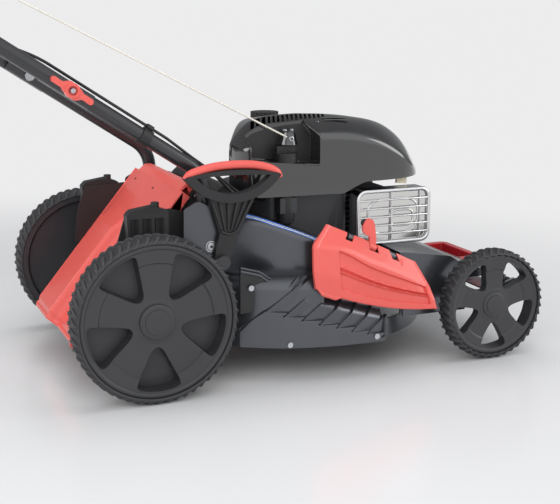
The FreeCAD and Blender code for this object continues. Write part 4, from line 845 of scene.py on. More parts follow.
# ---------------------------------------------------------------- discharge flap on the right
@dataclass
class SideFlap:
    """Red discharge flap: folded sheet with sunk panels, a double rib, hinge lugs and a foot.

    Attributes:
        corners: Corners of the outer face from the hinge to the foot: rear, middle and front columns.
        stations: Shares of the way down at which those corners lie.
        pin: The two ends of the hinge line.
        notches: Shares along the hinge between which the flap leaves room for the deck's ears and the latch.
    """

    corners: tuple = (((318, -230, 271), (279, -262, 243), (276, -271.5, 199), (280, -274, 160)),
                      ((407, -236, 231), (400, -264, 200), (402, -271.5, 157), (404, -274, 119)),
                      ((489, -241, 191), (508, -260, 150), (514, -270, 126), (518, -274, 104)))
    stations: tuple = (0.0, 0.24, 0.62, 1.0)
    pin: tuple = ((322, -226, 262), (486, -237, 184))
    notches: tuple = ((0.207, 0.288), (0.443, 0.541), (0.680, 0.760))

    def __post_init__(self) -> None:
        """Work out the hinge line's start and direction."""
        self.hinge = Vector(self.pin[0])
        self.along = (Vector(self.pin[1]) - self.hinge).normalized()

    def base(self, u: float, v: float) -> Vector:
        """Smooth outer face, from the rear edge (u 0) to the front and from the hinge (v 0) to the foot."""
        weights = ((1 - u) * (1 - 2 * u), 4 * u * (1 - u), u * (2 * u - 1))
        rows = [sum((Vector(column[row]) * weight for column, weight in zip(self.corners, weights)), Vector())
                for row in range(4)]
        # the knee climbs in an arch behind the panel's rear corner
        rows[1] += Vector((0, 3, 7)) * bump_at(u, 0.24, 0.24)
        part = sum(v >= station for station in self.stations[1:3])
        start, end = self.stations[part:part + 2]
        low, high, share = rows[part], rows[part + 1], (v - start) / (end - start)
        return low.lerp(high, share)

    def rounded(self, u: float, v: float) -> Vector:
        """The face with its folds rounded by averaging along v."""
        spread = 0.045
        total = Vector()
        for step in (-1.0, -0.5, 0.0, 0.5, 1.0):
            total += self.base(u, min(1.0, max(0.0, v + step * spread)))
        ends = smooth(0, 0.06, v) * smooth(1, 0.94, v)
        return self.base(u, v).lerp(total / 5, ends)

    def relief(self, u: float, v: float) -> float:
        """Height of the moulded relief over the face, in millimetres."""
        wave = 0.035 * math.sin((u - 0.25) * 4.4)
        top = 0.265 + wave + 0.06 * u
        low = 0.80 + 0.02 * math.sin((u - 0.2) * 5)
        rib = 0.50 + wave * 1.2 + 0.03 * u
        left, right = 0.195, 0.955
        edge = 0.009
        window = (smooth(top, top + edge * 2, v) * smooth(low, low - edge * 2, v)
                  * smooth(left, left + edge, u) * smooth(right, right - edge, u))
        ridges = max(bump_at(v, rib - 0.026, 0.026), bump_at(v, rib + 0.03, 0.026))
        ridges *= smooth(left, left + 0.01, u) * smooth(right + 0.02, right, u)
        height = -5.0 * window + 5.2 * ridges * (0.1 + 0.9 * window)
        # a soft bead round the outer edge
        margin = min(u * 0.9, (1 - u) * 0.9, (1 - v) * 0.55)
        height += 0.9 * bump_at(margin, 0.018, 0.018)
        return height

    def face(self, u: float, v: float) -> Vector:
        """Front of the flap in the row's frame."""
        step = 0.004
        place = self.rounded(u, v)
        by_u = self.rounded(min(1, u + step), v) - self.rounded(max(0, u - step), v)
        by_v = self.rounded(u, min(1, v + step)) - self.rounded(u, max(0, v - step))
        normal = by_u.cross(by_v).normalized()
        if normal.y > 0:
            normal = -normal
        place = place + normal * (self.relief(u, v) - 1.0)
        place.z += self.foot(u, v)
        return at(*place)

    @staticmethod
    def foot(u: float, v: float) -> float:
        """Rise of the lower edge beside the foot that hangs at the rear."""
        return smooth(0.9, 1.0, v) * (6 * smooth(0.14, 0.19, u) + 9 * smooth(0.05, 0.0, u))

    def rear(self, u: float, v: float) -> Vector:
        """Back of the flap."""
        deep = 4.2 + 3.6 * smooth(0.08, 0.2, v) * smooth(1.0, 0.9, v)
        place = self.rounded(u, v) + Vector((0, deep, -1.4))
        place.z += self.foot(u, v)
        return at(*place)

    def slot(self, u: float, v: float) -> float:
        """Signed inset into the notches that leave room for the deck's hinge ears and the latch."""
        deepest = -9.0
        for start, end in self.notches:
            deepest = max(deepest, min((u - start) * 200, (end - u) * 200, (0.10 - v) * 130))
        return deepest

    def build(self) -> None:
        """Make the flap with its hinge lugs."""
        sheet = Plate(150, 110, self.face, self.rear, hole=self.slot).build()
        lugs = bmesh.new()
        for station in (24, 58, 112, 146):
            start = self.hinge + self.along * station
            bar(lugs, [at(*(start + self.along * run)) for run in (0, 0.8, 6, 11.2, 12)],
                [6.2, 7, 7, 7, 6.2], 20)
            web = start + self.along * 6
            bar(lugs, [at(*web), at(*(web + Vector((-2, -7, -2)))), at(*(web + Vector((-4, -14, -8))))],
                [5.2, 4.8, 3.6], 12)
        keep_mesh("moulded_side_flap", joined([sheet, outward(lugs)]), RED, "side_flap_door", 34, ("side_flap",))


# ---------------------------------------------------------------- lower body panel on the right
@dataclass(frozen=True)
class Skirt:
    """Lower right body panel: a plain foot panel, stepped slanting louvres above it and a ledge behind.

    Attributes:
        plan: The panel's line seen from above.
        top: Its upper edge over x.
        edge: Line where the plain foot panel ends over x.
        rear: Where the panel starts along the mower.
        front: Where it ends.
        foot: Height of its lower edge.
    """

    plan: tuple = ((163, -213), (205, -236), (245, -254), (290, -266), (330, -272.5), (372, -274.4), (411, -275))
    top: tuple = ((163, 92), (203, 131), (214, 140), (256, 187), (411, 187))
    edge: tuple = ((163, 90), (182, 112), (203, 129), (411, 72))
    rear: float = 163.0
    front: float = 411.0
    foot: float = 62.0

    def relief(self, x: float, z: float) -> float:
        """How far the panel is sunk at a place, in millimetres."""
        edge = height_over(self.edge, x)
        share = (x - (z - edge) * 0.86 - 203) / 29.5
        rib = math.floor(share)
        part = share - rib
        # each louvre ends level, so the edge falls in steps
        step_edge = 129 - 8.1 * max(0, rib) - 3 if x > 203 else edge
        above = smooth(step_edge - 0.8, step_edge + 0.8, z)
        louvre = 1.4 + 5.0 * ((part - 0.08) / 0.92 if part > 0.08 else (0.08 - part) / 0.08)
        # the louvres lean in under the discharge flap
        cover = 154 - 0.30 * (x - 280)
        return above * (louvre + 0.03 * (z - step_edge)) + 13 * smooth(cover - 18, cover + 4, z) * smooth(250, 290, x)

    def surface(self, u: float, v: float, deep: float) -> Vector:
        """Place on the panel's outer face, or a depth behind it."""
        x = self.rear + (self.front - self.rear) * u
        z = self.foot + (height_over(self.top, x) - self.foot) * v
        return at(x, height_over(self.plan, x) + 0.4 + self.relief(x, z) + deep, z)

    def build(self) -> None:
        """Make the panel, its front return and the ledge behind the wheel."""
        panel = Plate(260, 100, lambda u, v: self.surface(u, v, 0), lambda u, v: self.surface(u, v, 5)).build()
        front = bmesh.new()
        outline = ((411, -274.6), (424, -258), (424, -249), (419.5, -250.5), (420, -256), (409, -270))
        slab(front, [at(x, y, self.foot) for x, y in outline], Vector((0, 0, 42 * MM)))
        ledge = [at(163, -216, 204), at(194, -222, 196), at(246, -222, 160), at(226, -222, 128), at(163, -216, 122)]
        shield = bmesh.new()
        slab(shield, ledge, Vector((0, 5 * MM, 0)))
        keep_mesh("wheel_side_shield", outward(shield), BLACK, "chassis")
        for lift in (0, -6):
            bar(front, [at(163, -217.5, 204 + lift), at(194, -223.5, 196 + lift), at(246, -223.5, 160 + lift)],
                1.7 - 0.1 * lift, 10)
        keep_mesh("louvred_skirt", joined([panel, outward(front)]), DECK, "chassis", 24, ("side_skirt",))


# ---------------------------------------------------------------- grass flap at the rear
@dataclass
class RearFlap:
    """Rear flap: a flat upper face, a raised tongue below a fold, flanks, a ridge and hinge barrels.

    Attributes:
        edges: Upper edge, fold and lip of the outer face, as x and z.
        half: Half its width.
        flank: How far the flanks reach inward.
        barrels: Ends of the hinge barrels across the mower.
    """

    edges: tuple = ((84, 330), (-112, 93), (-116, 78))
    half: float = 150.0
    flank: float = 21.0
    barrels: tuple = ((-126, -84), (-21, 21), (84, 126))

    def __post_init__(self) -> None:
        """Work out the slope's length and directions."""
        self.top, self.foot, self.lip = (Vector((x, 0, z)) for x, z in self.edges)
        self.length = (self.foot - self.top).length
        self.down = (self.foot - self.top).normalized()
        self.inward = Vector((-self.down.z, 0, self.down.x))

    def height(self, run: float, y: float) -> float:
        """Relief over the flap's plane at a run down the slope, in millimetres."""
        ramp = min(1.0, max(0.0, (run - 84) / 38))
        tongue = min(1.0, max(0.0, min(y - 14, 124 - y) / 6))
        sunk = min(1.0, max(0.0, min(y + 142, 16 - y) / 7))
        bead = 1.4 * smooth(4.5, 2.0, self.half - abs(y))
        return ramp * (10.0 * tongue - 12.0 * sunk) + bead

    def sheet(self, u: float, v: float, deep: float) -> Vector:
        """Place on the sheet: down the slope, then straight down along the lip."""
        y = self.half * (2 * u - 1)
        run = min(1.0, v / 0.88) * self.length
        place = self.top + self.down * run
        shift = deep if deep else -self.height(run, y)
        place = place + self.inward * shift
        if v > 0.88:
            share = (v - 0.88) / 0.12
            place = place + (self.lip - self.foot) * share
            place.x -= 3.5 * smooth(0.55, 0.75, share) * (0 if deep else 1)
        return at(place.x, y, place.z)

    def build(self) -> None:
        """Make the flap as one moulded piece."""
        sheet = Plate(200, 120, lambda u, v: self.sheet(u, v, 0), lambda u, v: self.sheet(u, v, 16)).build()
        rest = bmesh.new()
        inner_top = self.top + self.inward * self.flank + self.down * 34
        inner_foot = self.foot + self.inward * self.flank
        flank = [self.top + self.inward, self.foot + self.inward, self.lip + Vector((1, 0, 0)),
                 self.lip + Vector((12, 0, 0)), inner_foot, inner_top]
        ridge = [self.top + self.inward * 0.3, Vector((96, 0, 340)), Vector((106, 0, 340.5)), Vector((112, 0, 339)),
                 Vector((117, 0, 335)), Vector((116, 0, 330)), Vector((108, 0, 334)), Vector((98, 0, 335)),
                 self.top + self.inward * 4]
        for sign in SIDES.values():
            slab(rest, [at(point.x, sign * self.half, point.z) for point in flank], Vector((0, -sign * 3 * MM, 0)))
        slab(rest, [at(point.x, -130, point.z) for point in ridge], Vector((0, 260 * MM, 0)))
        for start, end in self.barrels:
            bar(rest, [at(112, start, 318), at(112, start + 1, 318), at(112, end - 1, 318), at(112, end, 318)],
                [8.2, 9, 9, 8.2], 28)
            web = [(98, 335), (115, 335), (119, 318), (105, 318)]
            slab(rest, [at(x, start, z) for x, z in web], Vector((0, (end - start) * MM, 0)))
        keep_mesh("folded_rear_flap", joined([sheet, outward(rest)]), RED, "rear_flap_door", 9, ("rear_flap",))


# ---------------------------------------------------------------- engine housing
@dataclass(frozen=True)
class Cowl:
    """Glossy hollow engine housing with a vented brow over a pocket that holds the rope horn.

    Attributes:
        stations: Place along the mower, half width, height of the shoulder and height of the crest.
        far: Where the far side ends along the mower: the rear wall runs slantwise.
        base: Height of the lower edge.
        pocket: Outline of the pocket seen from the right.
        vents: For each row of slots its start, lean, width, count and pitch.
        wall: Thickness of the wall.
        back: Where the pocket's back wall stands.
    """

    stations: tuple = ((197, 96, 385, 398), (203, 120, 392, 409), (212, 135, 396, 420), (224, 144, 398, 431),
                       (240, 147.5, 400, 440), (260, 148, 401, 445), (290, 148, 402, 447), (320, 148, 408, 448),
                       (341, 148, 416, 447), (365, 148, 415.5, 446), (389, 148, 414, 444), (412, 148, 411, 441.5),
                       (435, 148, 405, 438), (460, 147.5, 397, 433.5), (483, 146, 387, 428), (505, 142.5, 375, 421),
                       (522, 138, 363, 413.5), (539, 129, 348, 405), (552, 117, 338, 397), (562, 103, 334, 389),
                       (571, 86, 332, 379), (578, 66, 331, 367), (584, 45, 330, 353), (588, 22, 329, 338))
    far: tuple = ((197, -70), (203, -62), (212, -42), (224, -14), (240, 24), (260, 70), (275, 102), (292, 130),
                  (315, 144), (341, 148), (589, 148))
    base: tuple = ((197, 318), (225, 309), (399, 307), (414, 319), (430, 325.5), (589, 328))
    pocket: tuple = ((214, 374), (341.5, 361.5), (342, 413), (336, 421), (329, 430), (328, 470), (214, 470))
    vents: tuple = ((226, 8, 6.6, 3, 11.0), (260, 7, 4.5, 13, 8.8))
    wall: float = 4.0
    back: float = -104.0

    def station(self, x: float) -> tuple[float, float, float]:
        """Half width, shoulder height and crest height at a place along the mower."""
        width, shoulder, crest = (height_over(tuple((row[0], row[index]) for row in self.stations), x)
                                  for index in (1, 2, 3))
        return width, shoulder, crest

    def limits(self, x: float) -> tuple[float, float]:
        """Where the crest runs and where the far side ends: the rear wall runs slantwise."""
        return 78 * (1 - smooth(440, 600, x)), min(self.station(x)[0], height_over(self.far, x))

    def top(self, x: float, y: float) -> float:
        """Height of the housing's outer face, in millimetres."""
        width, shoulder, crest = self.station(x)
        ridge, right = self.limits(x)
        if y < -ridge:
            share = min(1.0, (-y - ridge) / (width - ridge))
            return crest - (crest - shoulder) * share ** (1.35 + 0.6 * smooth(335, 410, x))
        level = crest - 0.13 * (right + ridge)
        far = min(shoulder, level - 8)
        return crest - 0.13 * (y + ridge) - (level - far) * ((y + ridge) / (right + ridge)) ** (
            6 - 3 * smooth(420, 520, x))

    def section(self, x: float) -> list[Vector]:
        """Closed outline of the housing across the mower at one place."""
        width = self.station(x)[0]
        ridge, right = self.limits(x)
        base = height_over(self.base, x)
        near, far = self.top(x, -width), self.top(x, right)
        points = [(-width, base + max(1.0, near - 6 - base) * share) for share in (0, 0.3, 0.6, 0.85)]
        points += [(-width, max(base + 1.2, near - 6)), (-width + 0.6, max(base + 1.8, near - 2.2))]
        points += [(y, self.top(x, y)) for y in
                   (-width + 2.4 + (width - 2.4 - ridge) * step / 14 for step in range(15))]
        points += [(y, self.top(x, y)) for y in
                   (-ridge + (right + ridge - 2.4) * step / 24 for step in range(1, 25))]
        points += [(right - 0.6, max(base + 1.8, far - 2.2)), (right, max(base + 1.2, far - 6))]
        points += [(right, base + max(1.0, far - 6 - base) * share) for share in (0.85, 0.6, 0.3, 0)]
        return [Vector((x, y, z)) for y, z in points]

    def cavity(self, x: float) -> list[Vector]:
        """Closed outline of the hollow inside at one place."""
        right = self.limits(x)[1] - self.wall
        left = min(self.station(x)[0] - self.wall, 98 + 60 * smooth(352, 368, x))
        spread = [-left + (left + right) * step / 28 for step in range(29)]
        return [at(x, -left, 300)] + [at(x, y, self.top(x, y) - self.wall) for y in spread] + [at(x, right, 300)]

    def slots(self) -> list[bmesh.types.BMesh]:
        """Slanted vent slots in the brow above the pocket: three wide ones and a long row."""
        cutters = []
        for x, lean, wide, count, pitch in self.vents:
            for index in range(count):
                low, high = x + pitch * index, x + pitch * index + lean
                start = Vector((low, -101.5, self.top(low, -101.5)))
                end = Vector((high, -82, self.top(high, -82)))
                slot = bmesh.new()
                across, up = Vector((wide, 0, 0)), Vector((0, -3, 6))
                outline = [at(*(point + up)) for point in (start, start + across, end + across, end)]
                slab(slot, outline, Vector((0, 0.45, -0.9)) * 12 * MM)
                cutters.append(outward(slot))
        return cutters

    def build(self) -> None:
        """Make the housing and its details."""
        columns = [spline(line, 3) for line in zip(*(self.section(row[0]) for row in self.stations))]
        shell = bmesh.new()
        loft(shell, [[at(*point) for point in ring] for ring in zip(*columns)])
        piece = keep_mesh("engine_housing", outward(shell), COWL, "chassis", 34, ("engine_cowl",))
        hollow = bmesh.new()
        loft(hollow, [self.cavity(x) for x in (212, 218, 224, 240, 260, 290, 320, 345, 352, 356, 360, 364, 368, 389,
                                               412, 435, 460, 483, 505, 522, 539, 552, 562, 571)])
        pocket = bmesh.new()
        slab(pocket, [at(x, -170, z) for x, z in self.pocket], Vector((0, (170 + self.back) * MM, 0)))
        carve(piece, [outward(hollow), outward(pocket)] + self.slots())
        # black sheet over the pocket's back wall: painted shade, for the wall is the same gloss plastic as the
        # housing
        shade_sheet = bmesh.new()
        slab(shade_sheet, [at(x, self.back - 0.8, z) for x, z in (
            (215, 375), (340.5, 362.5), (340.5, 412), (334, 421), (327.5, 428), (320, 432), (290, 430), (262, 426),
            (240, 421), (228, 417), (215, 408))], Vector((0, 0.6 * MM, 0)))
        keep_mesh("pocket_painted_shade", outward(shade_sheet), BLACK, "chassis")
        self.trim()
        self.recess()

    def trim(self) -> None:
        """Small moulded parts on the housing."""
        knob = bmesh.new()
        disc(knob, at(198, -60, 352), Vector((-1, 0, 0)), [(7, -3), (7, 3), (6, 5), (3, 6), (0.4, 6.2)], 24)
        keep_mesh("housing_knob", outward(knob), BLACK, "chassis")
        groove = bmesh.new()
        for index in range(2):
            y = -112 + index * 8
            line = [at(x, y - 0.1 * (x - 364), self.top(x, y) + 0.8) for x in (364, 376, 388, 400, 410)]
            bar(groove, line, 1.6, 8)
        disc(groove, at(350, -112, self.top(350, -112)), Vector((0, -0.4, 0.9)),
             [(5, -2), (5, 1), (4, 2.2), (0.4, 2.6)], 24)
        keep_mesh("housing_ridges", outward(groove), COWL, "chassis")

    @staticmethod
    def recess() -> None:
        """Rope horn in the recess with its bright eyelet, and the frame lines round the recess."""
        horn = bmesh.new()
        rings = []
        for z, wide, deep in ((398, 18.5, 25), (400, 17.5, 24.5), (409, 14.5, 23), (419, 13, 22.5), (422, 11, 20),
                              (423, 6, 12)):
            rings.append([at(292 + wide * math.cos(angle), -113 + deep * math.sin(angle), z)
                          for angle in circle(40)])
        loft(horn, rings)
        keep_mesh("rope_horn", outward(horn), COWL, "chassis", 30)
        eyelet = bmesh.new()
        ring = []
        for step in range(25):
            angle = 2 * math.pi * step / 24
            ring.append(at(291 + 3.6 * math.cos(angle), -136.4, 409 + 3.6 * math.sin(angle)))
        bar(eyelet, ring, 1.2, 8)
        for x in (285.5, 299):
            disc(eyelet, at(x, -118, 422.6), Vector((0, 0, 1)), [(4, 0), (4, 1.2), (3.2, 2.2), (0.4, 2.5)], 20)
        keep_mesh("rope_eyelet", outward(eyelet), ZINC, "chassis")
        frame_line = bmesh.new()
        bar(frame_line, spline([at(312, -148.4, 364.6), at(336, -148.4, 362.4), at(341.5, -148.4, 364),
                                at(342, -148.4, 380), at(342, -148.4, 408), at(341.4, -146.6, 413.6),
                                at(336, -133, 421.6), at(329.4, -117, 430.4), at(328.4, -105, 437)], 5), 1.5, 10)
        bar(frame_line, spline([at(242, -147.4, 371.4), at(218, -139.5, 374), at(213.8, -137, 377),
                                at(213.6, -137, 392), at(213.6, -134, 398), at(213.6, -120, 405.6),
                                at(213.6, -105, 413.4)], 5), 1.5, 10)
        keep_mesh("recess_bead", outward(frame_line), COWL, "chassis", 60)
        filler = bmesh.new()
        disc(filler, at(284, -126, 262), Vector((0, 0, 1)),
             [(9, -8), (14.6, -4), (15.4, 2), (15.4, 46), (13.6, 50), (13.6, 96), (16, 99), (16, 104)], 36)
        keep_mesh("oil_filler_tube", outward(filler), BLACK, "chassis")


# ---------------------------------------------------------------- small parts
class HeightLever:
    """Grip and ribs of the cutting height lever."""

    @staticmethod
    def lever_ribs() -> None:
        """Fan of ribs on the lever's neck, under the hand loop."""
        mesh = bmesh.new()
        for index in range(6):
            share = index / 5
            top = Vector((112 + 84 * share, -206.2, 333 - 14 * (1 - (2 * share - 1) ** 2)))
            foot = Vector((134 + 28 * share, -206.2, 268))
            bar(mesh, [at(*top), at(*top.lerp(foot, 0.5)), at(*foot)], [2.1, 1.9, 1.3], 8)
        bar(mesh, spline([at(133, -206.0, 267), at(148, -206.4, 262), at(163, -206.0, 267)], 4), 2.4, 8)
        keep_mesh("lever_neck_ribs", outward(mesh), BLACK, "height_lever_unit")

    @staticmethod
    def grip_arch() -> None:
        """Red grip over the lever's hand loop."""
        mesh = bmesh.new()
        path = spline([at(x, -205, z) for x, z in ((69, 360), (84, 369), (118, 377.2), (155, 379.6), (196, 377),
                                                  (227, 368), (242, 355))], 6)
        count = len(path) - 1
        radii = [4.2 + 3.0 * smooth(0, 0.16, index / count) * smooth(1, 0.9, index / count)
                 for index in range(count + 1)]
        bar(mesh, path, radii, 20)
        keep_mesh("lever_grip_arch", outward(mesh), RED, "height_lever_unit", 50, ("lever_grip",))


@dataclass(frozen=True)
class Stripes:
    """Painted lines along the tunnel's right shoulder.

    Attributes:
        shoulder: Points along the shoulder.
        bands: For each line its name, finish, start across the shoulder and width.
    """

    shoulder: tuple = ((128, -144, 288), (160, -150, 285), (200, -165, 281), (240, -188, 268), (280, -204, 253),
                       (320, -214, 235), (338, -216, 227))
    bands: tuple = (("stripe_blue", BLUE_LINE, 1.2, 5.6), ("stripe_white", WHITE_LINE, 0.2, 1.0),
                    ("stripe_black", BLACK_LINE, -1.8, 2.0), ("stripe_pale", WHITE_LINE, -2.8, 1.0),
                    ("stripe_lower_blue", BLUE_LINE, -5.0, 2.2))

    def build(self) -> None:
        """Painted stripes along the tunnel's right shoulder, laid on the deck's own surface."""
        data = frame["nodes"]["deck_shell"].data
        tree = BVHTree.FromPolygons([vertex.co for vertex in data.vertices],
                                    [tuple(face.vertices) for face in data.polygons])
        shoulder = spline([Vector(point) for point in self.shoulder], 10)
        way = Vector((0, 0.7071, -0.7071))
        over = Vector((0, 0.7071, 0.7071))
        for name, finish, start, width in self.bands:
            mesh = bmesh.new()
            rings = []
            for point in shoulder:
                hits = []
                for share in (0, 0.5, 1):
                    origin = at(*(point + over * (start + width * share) - way * 40))
                    hit, normal, _, _ = tree.ray_cast(origin, way)
                    if hit is not None:
                        hits.append((hit, normal if normal.dot(way) < 0 else -normal))
                if len(hits) == 3:
                    rings.append([hit + normal * 0.3 * MM for hit, normal in hits]
                                 + [hit - normal * 0.3 * MM for hit, normal in reversed(hits)])
            loft(mesh, rings)
            keep_mesh(name, outward(mesh), finish, "chassis")


class FlapHardware:
    """Springs and latch of the two flaps, and the rear flap's holes drawn as painted shade."""

    @staticmethod
    def flap_springs() -> None:
        """Coil springs on the rear flap's pin."""
        mesh = bmesh.new()
        for sign in SIDES.values():
            turns, steps = 13, 14
            path = []
            for step in range(turns * steps + 1):
                angle = 2 * math.pi * step / steps
                y = sign * (42 + 34 * step / (turns * steps))
                path.append(at(112 + 6.0 * math.cos(angle), y, 318 + 6.0 * math.sin(angle)))
            leg = [at(117.2, sign * 76.5, 315), at(117.0, sign * 77, 305), at(117, sign * 77, 292.6)]
            bar(mesh, path + leg, 0.95, 8)
        keep_mesh("coiled_flap_springs", outward(mesh), ZINC, "chassis", 60, ("rear_flap_springs",))

    @staticmethod
    def latch_knob() -> None:
        """Latch tab of the side flap on its barrel, and the black knob behind it."""
        hinge = SideFlap()
        mesh = bmesh.new()
        barrel = [hinge.hinge + hinge.along * station for station in (84, 84.8, 98.2, 99)]
        bar(mesh, [at(*point) for point in barrel], [6.2, 7, 7, 6.2], 20)
        outline = [(398, 222), (398, 243), (389, 248), (385, 254), (385, 264), (389, 272), (397, 276), (404, 273),
                   (408, 264), (411, 240), (411, 219)]
        slab(mesh, [at(x, -236.5, z) for x, z in outline], Vector((0, 5 * MM, 0)))
        keep_mesh("latch_tab", outward(mesh), RED, "side_latch", 34, ("side_flap_latch",))
        knob = bmesh.new()
        disc(knob, at(390, -231, 268), Vector((0, -1, 0)), [(5, -3), (6.6, -2), (7, 1), (6, 3), (0.4, 3.6)], 28)
        keep_mesh("latch_knob", outward(knob), BLACK, "side_latch")

    @staticmethod
    def flap_holes() -> None:
        """Two small holes in the rear flap's upper part, drawn as black discs: painted shade where the holes are."""
        mesh = bmesh.new()
        slope = Vector((-0.771, 0, 0.637))
        # black discs: painted shade standing in for the holes
        for y in (-7, 112):
            centre = at(72, y, 315.5)
            disc(mesh, centre, slope, [(2.6, -2), (2.6, 0.35), (2.2, 0.6), (0.4, 0.4)], 20)
        keep_mesh("painted_shade_flap_holes", outward(mesh), BLACK, "rear_flap_door")


class MufflerTrim:
    """Guard, embossing and heat tab round the muffler."""

    @staticmethod
    def guard_frame() -> None:
        """Bright guard: a rolled frame with sides and thin round bars over the muffler's sheet."""
        low, high = (Vector(corner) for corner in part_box("muffler_guard"))
        middle = (low + high) / 2

        def outline(y: float, inset: float, corner: float) -> Ring:
            """Rounded rectangle inside the guard's box."""
            ring = []
            for start, sign_x, sign_z in ((0, 1, 1), (90, -1, 1), (180, -1, -1), (270, 1, -1)):
                hub = Vector((middle.x + sign_x * (high.x - middle.x - (inset + corner) * MM), y,
                              middle.z + sign_z * (high.z - middle.z - (inset + corner) * MM)))
                for step in range(9):
                    angle = math.radians(start + 90 * step / 8)
                    ring.append(hub + Vector((math.cos(angle), 0, math.sin(angle))) * corner * MM)
            return ring

        mesh = bmesh.new()
        profile = [(4.0 - 4.0 * math.cos(turn), 4.0 - 4.0 * math.sin(turn))
                   for turn in (2 * math.pi * step / 12 for step in range(12))]
        loft(mesh, [outline(low.y + deep * MM, inset, 20 - inset) for inset, deep in profile], loop=True)
        wall = [(0.6, 4.0), (0.6, 33.5), (1.8, 33.5), (1.8, 4.0)]
        loft(mesh, [outline(low.y + deep * MM, inset, 20 - inset) for inset, deep in wall], loop=True)
        for share in (0.2, 0.35, 0.5, 0.65, 0.8):
            z = low.z + (high.z - low.z) * share
            bar(mesh, [Vector((low.x + 5 * MM, low.y + 4 * MM, z)), Vector((low.x + 10 * MM, low.y + 1.6 * MM, z)),
                       Vector((high.x - 10 * MM, low.y + 1.6 * MM, z)),
                       Vector((high.x - 5 * MM, low.y + 4 * MM, z))], 1.5, 10)
        for share in (0.47, 0.86):
            x = low.x + (high.x - low.x) * share
            bar(mesh, [Vector((x, low.y + 4 * MM, low.z + 5 * MM)), Vector((x, low.y + 3.4 * MM, low.z + 10 * MM)),
                       Vector((x, low.y + 3.4 * MM, high.z - 10 * MM)),
                       Vector((x, low.y + 4 * MM, high.z - 5 * MM))], 1.5, 10)
        keep_mesh("barred_guard", outward(mesh), POLISHED, "chassis", 50, ("muffler_guard",))
        emboss = bmesh.new()
        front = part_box("muffler")[0][1]
        for reach_x, reach_z, centre_x, centre_z in ((52, 33, 0.5, 0.5), (24, 15, 0.62, 0.46)):
            path = []
            for step in range(49):
                angle = 2 * math.pi * step / 48
                path.append(Vector((
                    low.x + (high.x - low.x) * centre_x + reach_x * MM * math.copysign(
                        abs(math.cos(angle)) ** 0.6, math.cos(angle)), front - 0.2 * MM,
                    low.z + (high.z - low.z) * centre_z + reach_z * MM * math.copysign(
                        abs(math.sin(angle)) ** 0.6, math.sin(angle)))))
            bar(emboss, path, 2.2, 10)
        keep_mesh("muffler_embossing", outward(emboss), STAINLESS, "chassis", 50)

    @staticmethod
    def tab() -> None:
        """Cream insulating tab above the muffler guard."""
        mesh = bmesh.new()
        slab(mesh, [at(512, -118, 314), at(534, -118, 312), at(534, -118, 326), at(514, -118, 328)],
             Vector((0, 5 * MM, 0)))
        keep_mesh("heat_tab", outward(mesh), CREAM, "chassis")


class BracketBolts:
    """Heads of the bolts through the handle brackets."""

    @staticmethod
    def bolt_faces() -> None:
        """Black ring and bright head on the outer face of the bracket bolts, and a black hexagon on each head:
        painted shade standing in for the socket's hollow.
        """
        dark, pale = bmesh.new(), bmesh.new()
        for sign in SIDES.values():
            out = Vector((0, sign, 0))
            disc(dark, at(119, sign * 193.7, 240), out, [(8.0, 0), (8.0, 0.35), (7.8, 0.4), (0.4, 0.4)], 32)
            disc(pale, at(119, sign * 193.9, 240), out, [(5.8, 0), (5.8, 0.4), (5.5, 0.6), (0.4, 0.6)], 32)
            # black hexagon on the head: painted shade where the socket is hollow
            disc(dark, at(119, sign * 194.3, 240), out, [(2.6, 0), (2.6, 0.35), (2.4, 0.4), (0.4, 0.4)], 6)
        keep_mesh("bolt_rings_and_painted_shade_sockets", outward(dark), BLACK, "chassis")
        keep_mesh("bolt_heads", outward(pale), ZINC, "chassis")


# ---------------------------------------------------------------- light, floor and camera
BACKDROP = "ECECED"


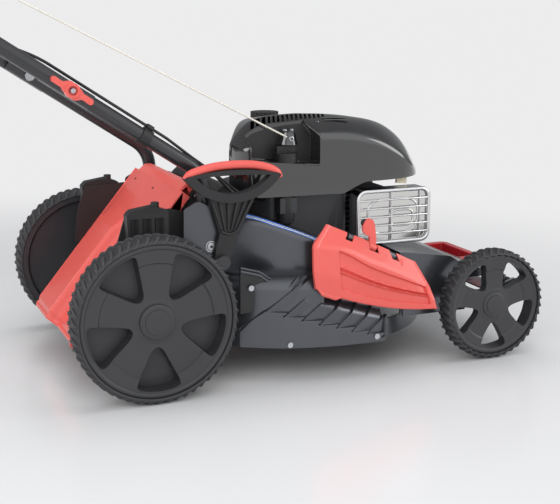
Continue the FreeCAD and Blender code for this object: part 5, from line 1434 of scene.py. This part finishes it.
@dataclass
class Studio:
    """Plain floor, soft lamps and the camera."""

    eye: tuple[float, float, float] = (-0.4107, -1.9696, 0.6511)
    look: tuple[float, float, float] = (0.372, 0.902, -0.219)
    lens: float = 72.57
    lamps: tuple = (
        ("key_panel", (-0.8, -2.3, 1.7), 2.4, 43.0),
        ("top_panel", (0.6, 0.2, 2.7), 2.6, 30.0),
        ("side_panel", (-2.6, 0.3, 1.3), 1.8, 22.0),
        ("front_panel", (2.6, -1.2, 1.2), 1.6, 16.0))

    def build(self) -> None:
        """Make the floor, the lamps, the world and the camera."""
        self._floor()
        for name, place, size, power in self.lamps:
            data = bpy.data.lights.new(name, "AREA")
            data.shape = "DISK"
            data.size = size
            data.energy = power
            lamp = bpy.data.objects.new(name, data)
            lamp.location = place
            lamp.visible_glossy = name in ("side_panel", "front_panel")
            lamp.rotation_euler = (Vector((0, 0, 0.25)) - Vector(place)).to_track_quat("-Z", "Y").to_euler()
            bpy.context.scene.collection.objects.link(lamp)
        self._world()
        data = bpy.data.cameras.new("view")
        data.lens = self.lens
        data.sensor_width = 36.0
        camera = bpy.data.objects.new("view", data)
        camera.location = self.eye
        camera.rotation_euler = Vector(self.look).to_track_quat("-Z", "Y").to_euler()
        bpy.context.scene.collection.objects.link(camera)
        bpy.context.scene.camera = camera
        bpy.context.scene.view_settings.view_transform = "Standard"

    def _floor(self) -> None:
        """White floor with a faint sheen."""
        mesh = bmesh.new()
        bmesh.ops.create_grid(mesh, x_segments=1, y_segments=1, size=40.0)
        data = bpy.data.meshes.new("studio_floor")
        mesh.to_mesh(data)
        mesh.free()
        floor = bpy.data.objects.new("studio_floor", data)
        bpy.context.scene.collection.objects.link(floor)
        data.materials.append(self._floor_material())

    @staticmethod
    def _floor_material() -> bpy.types.Material:
        """Pale satin floor that melts into the surroundings far from the mower."""
        material = bpy.data.materials.new("pale_satin_floor")
        material.use_nodes = True
        tree = material.node_tree
        tree.nodes.clear()
        place = add(tree, "ShaderNodeTexCoord").outputs["Object"]
        far = add(tree, "ShaderNodeVectorMath", {"operation": "LENGTH"}, {0: place})
        fade = add(tree, "ShaderNodeMapRange", {"interpolation_type": "SMOOTHSTEP"}, {0: far.outputs["Value"]},
                   {1: 0.7, 2: 2.0})
        near = add(tree, "ShaderNodeBsdfPrincipled", values={"Base Color": linear("D6D6D7"), "Roughness": 0.2})
        away = add(tree, "ShaderNodeEmission", values={"Color": linear(BACKDROP), "Strength": 1.0})
        mix = add(tree, "ShaderNodeMixShader", links={0: fade.outputs[0], 1: near.outputs[0], 2: away.outputs[0]})
        add(tree, "ShaderNodeOutputMaterial", links={"Surface": mix.outputs[0]})
        return material

    def _world(self) -> None:
        """Even pale surroundings, white where the camera or a reflection sees them."""
        world = bpy.data.worlds.new("surroundings")
        bpy.context.scene.world = world
        world.use_nodes = True
        tree = world.node_tree
        tree.nodes.clear()
        path = add(tree, "ShaderNodeLightPath")
        heading = add(tree, "ShaderNodeTexCoord").outputs["Generated"]
        parts = add(tree, "ShaderNodeSeparateXYZ", links={0: heading})
        # reflections are bright from the viewer's side and dim from behind the mower
        side = add(tree, "ShaderNodeMapRange", {"interpolation_type": "SMOOTHSTEP"}, {0: parts.outputs["Y"]},
                   {1: 0.35, 2: -0.75, 3: 0.3, 4: 1.35})
        dim = add(tree, "ShaderNodeBackground", values={"Color": linear("F2F4F6"), "Strength": 0.72})
        mirrored = add(tree, "ShaderNodeBackground", links={"Strength": side.outputs[0]},
                       values={"Color": linear("F4F5F7")})
        seen = add(tree, "ShaderNodeBackground", values={"Color": linear(BACKDROP), "Strength": 1.0})
        glossy = add(tree, "ShaderNodeMixShader", links={
            0: path.outputs["Is Glossy Ray"], 1: dim.outputs[0], 2: mirrored.outputs[0]})
        mix = add(tree, "ShaderNodeMixShader", links={
            0: path.outputs["Is Camera Ray"], 1: glossy.outputs[0], 2: seen.outputs[0]})
        add(tree, "ShaderNodeOutputWorld", links={"Surface": mix.outputs[0]})


def main() -> None:
    """Build every piece of the mower and its studio."""
    Studio().build()
    for end, style in WHEELS.items():
        for side in SIDES:
            Wheel(end, side, style).build()
    SideFlap().build()
    Skirt().build()
    RearFlap().build()
    Cowl().build()
    HeightLever.lever_ribs()
    Stripes().build()
    FlapHardware.flap_springs()
    MufflerTrim.guard_frame()
    FlapHardware.latch_knob()
    FlapHardware.flap_holes()
    MufflerTrim.tab()
    HeightLever.grip_arch()
    BracketBolts.bolt_faces()
    for node in sorted(NODE_FINISH):
        dress_node(node)


if __name__ == "__main__":
    main()
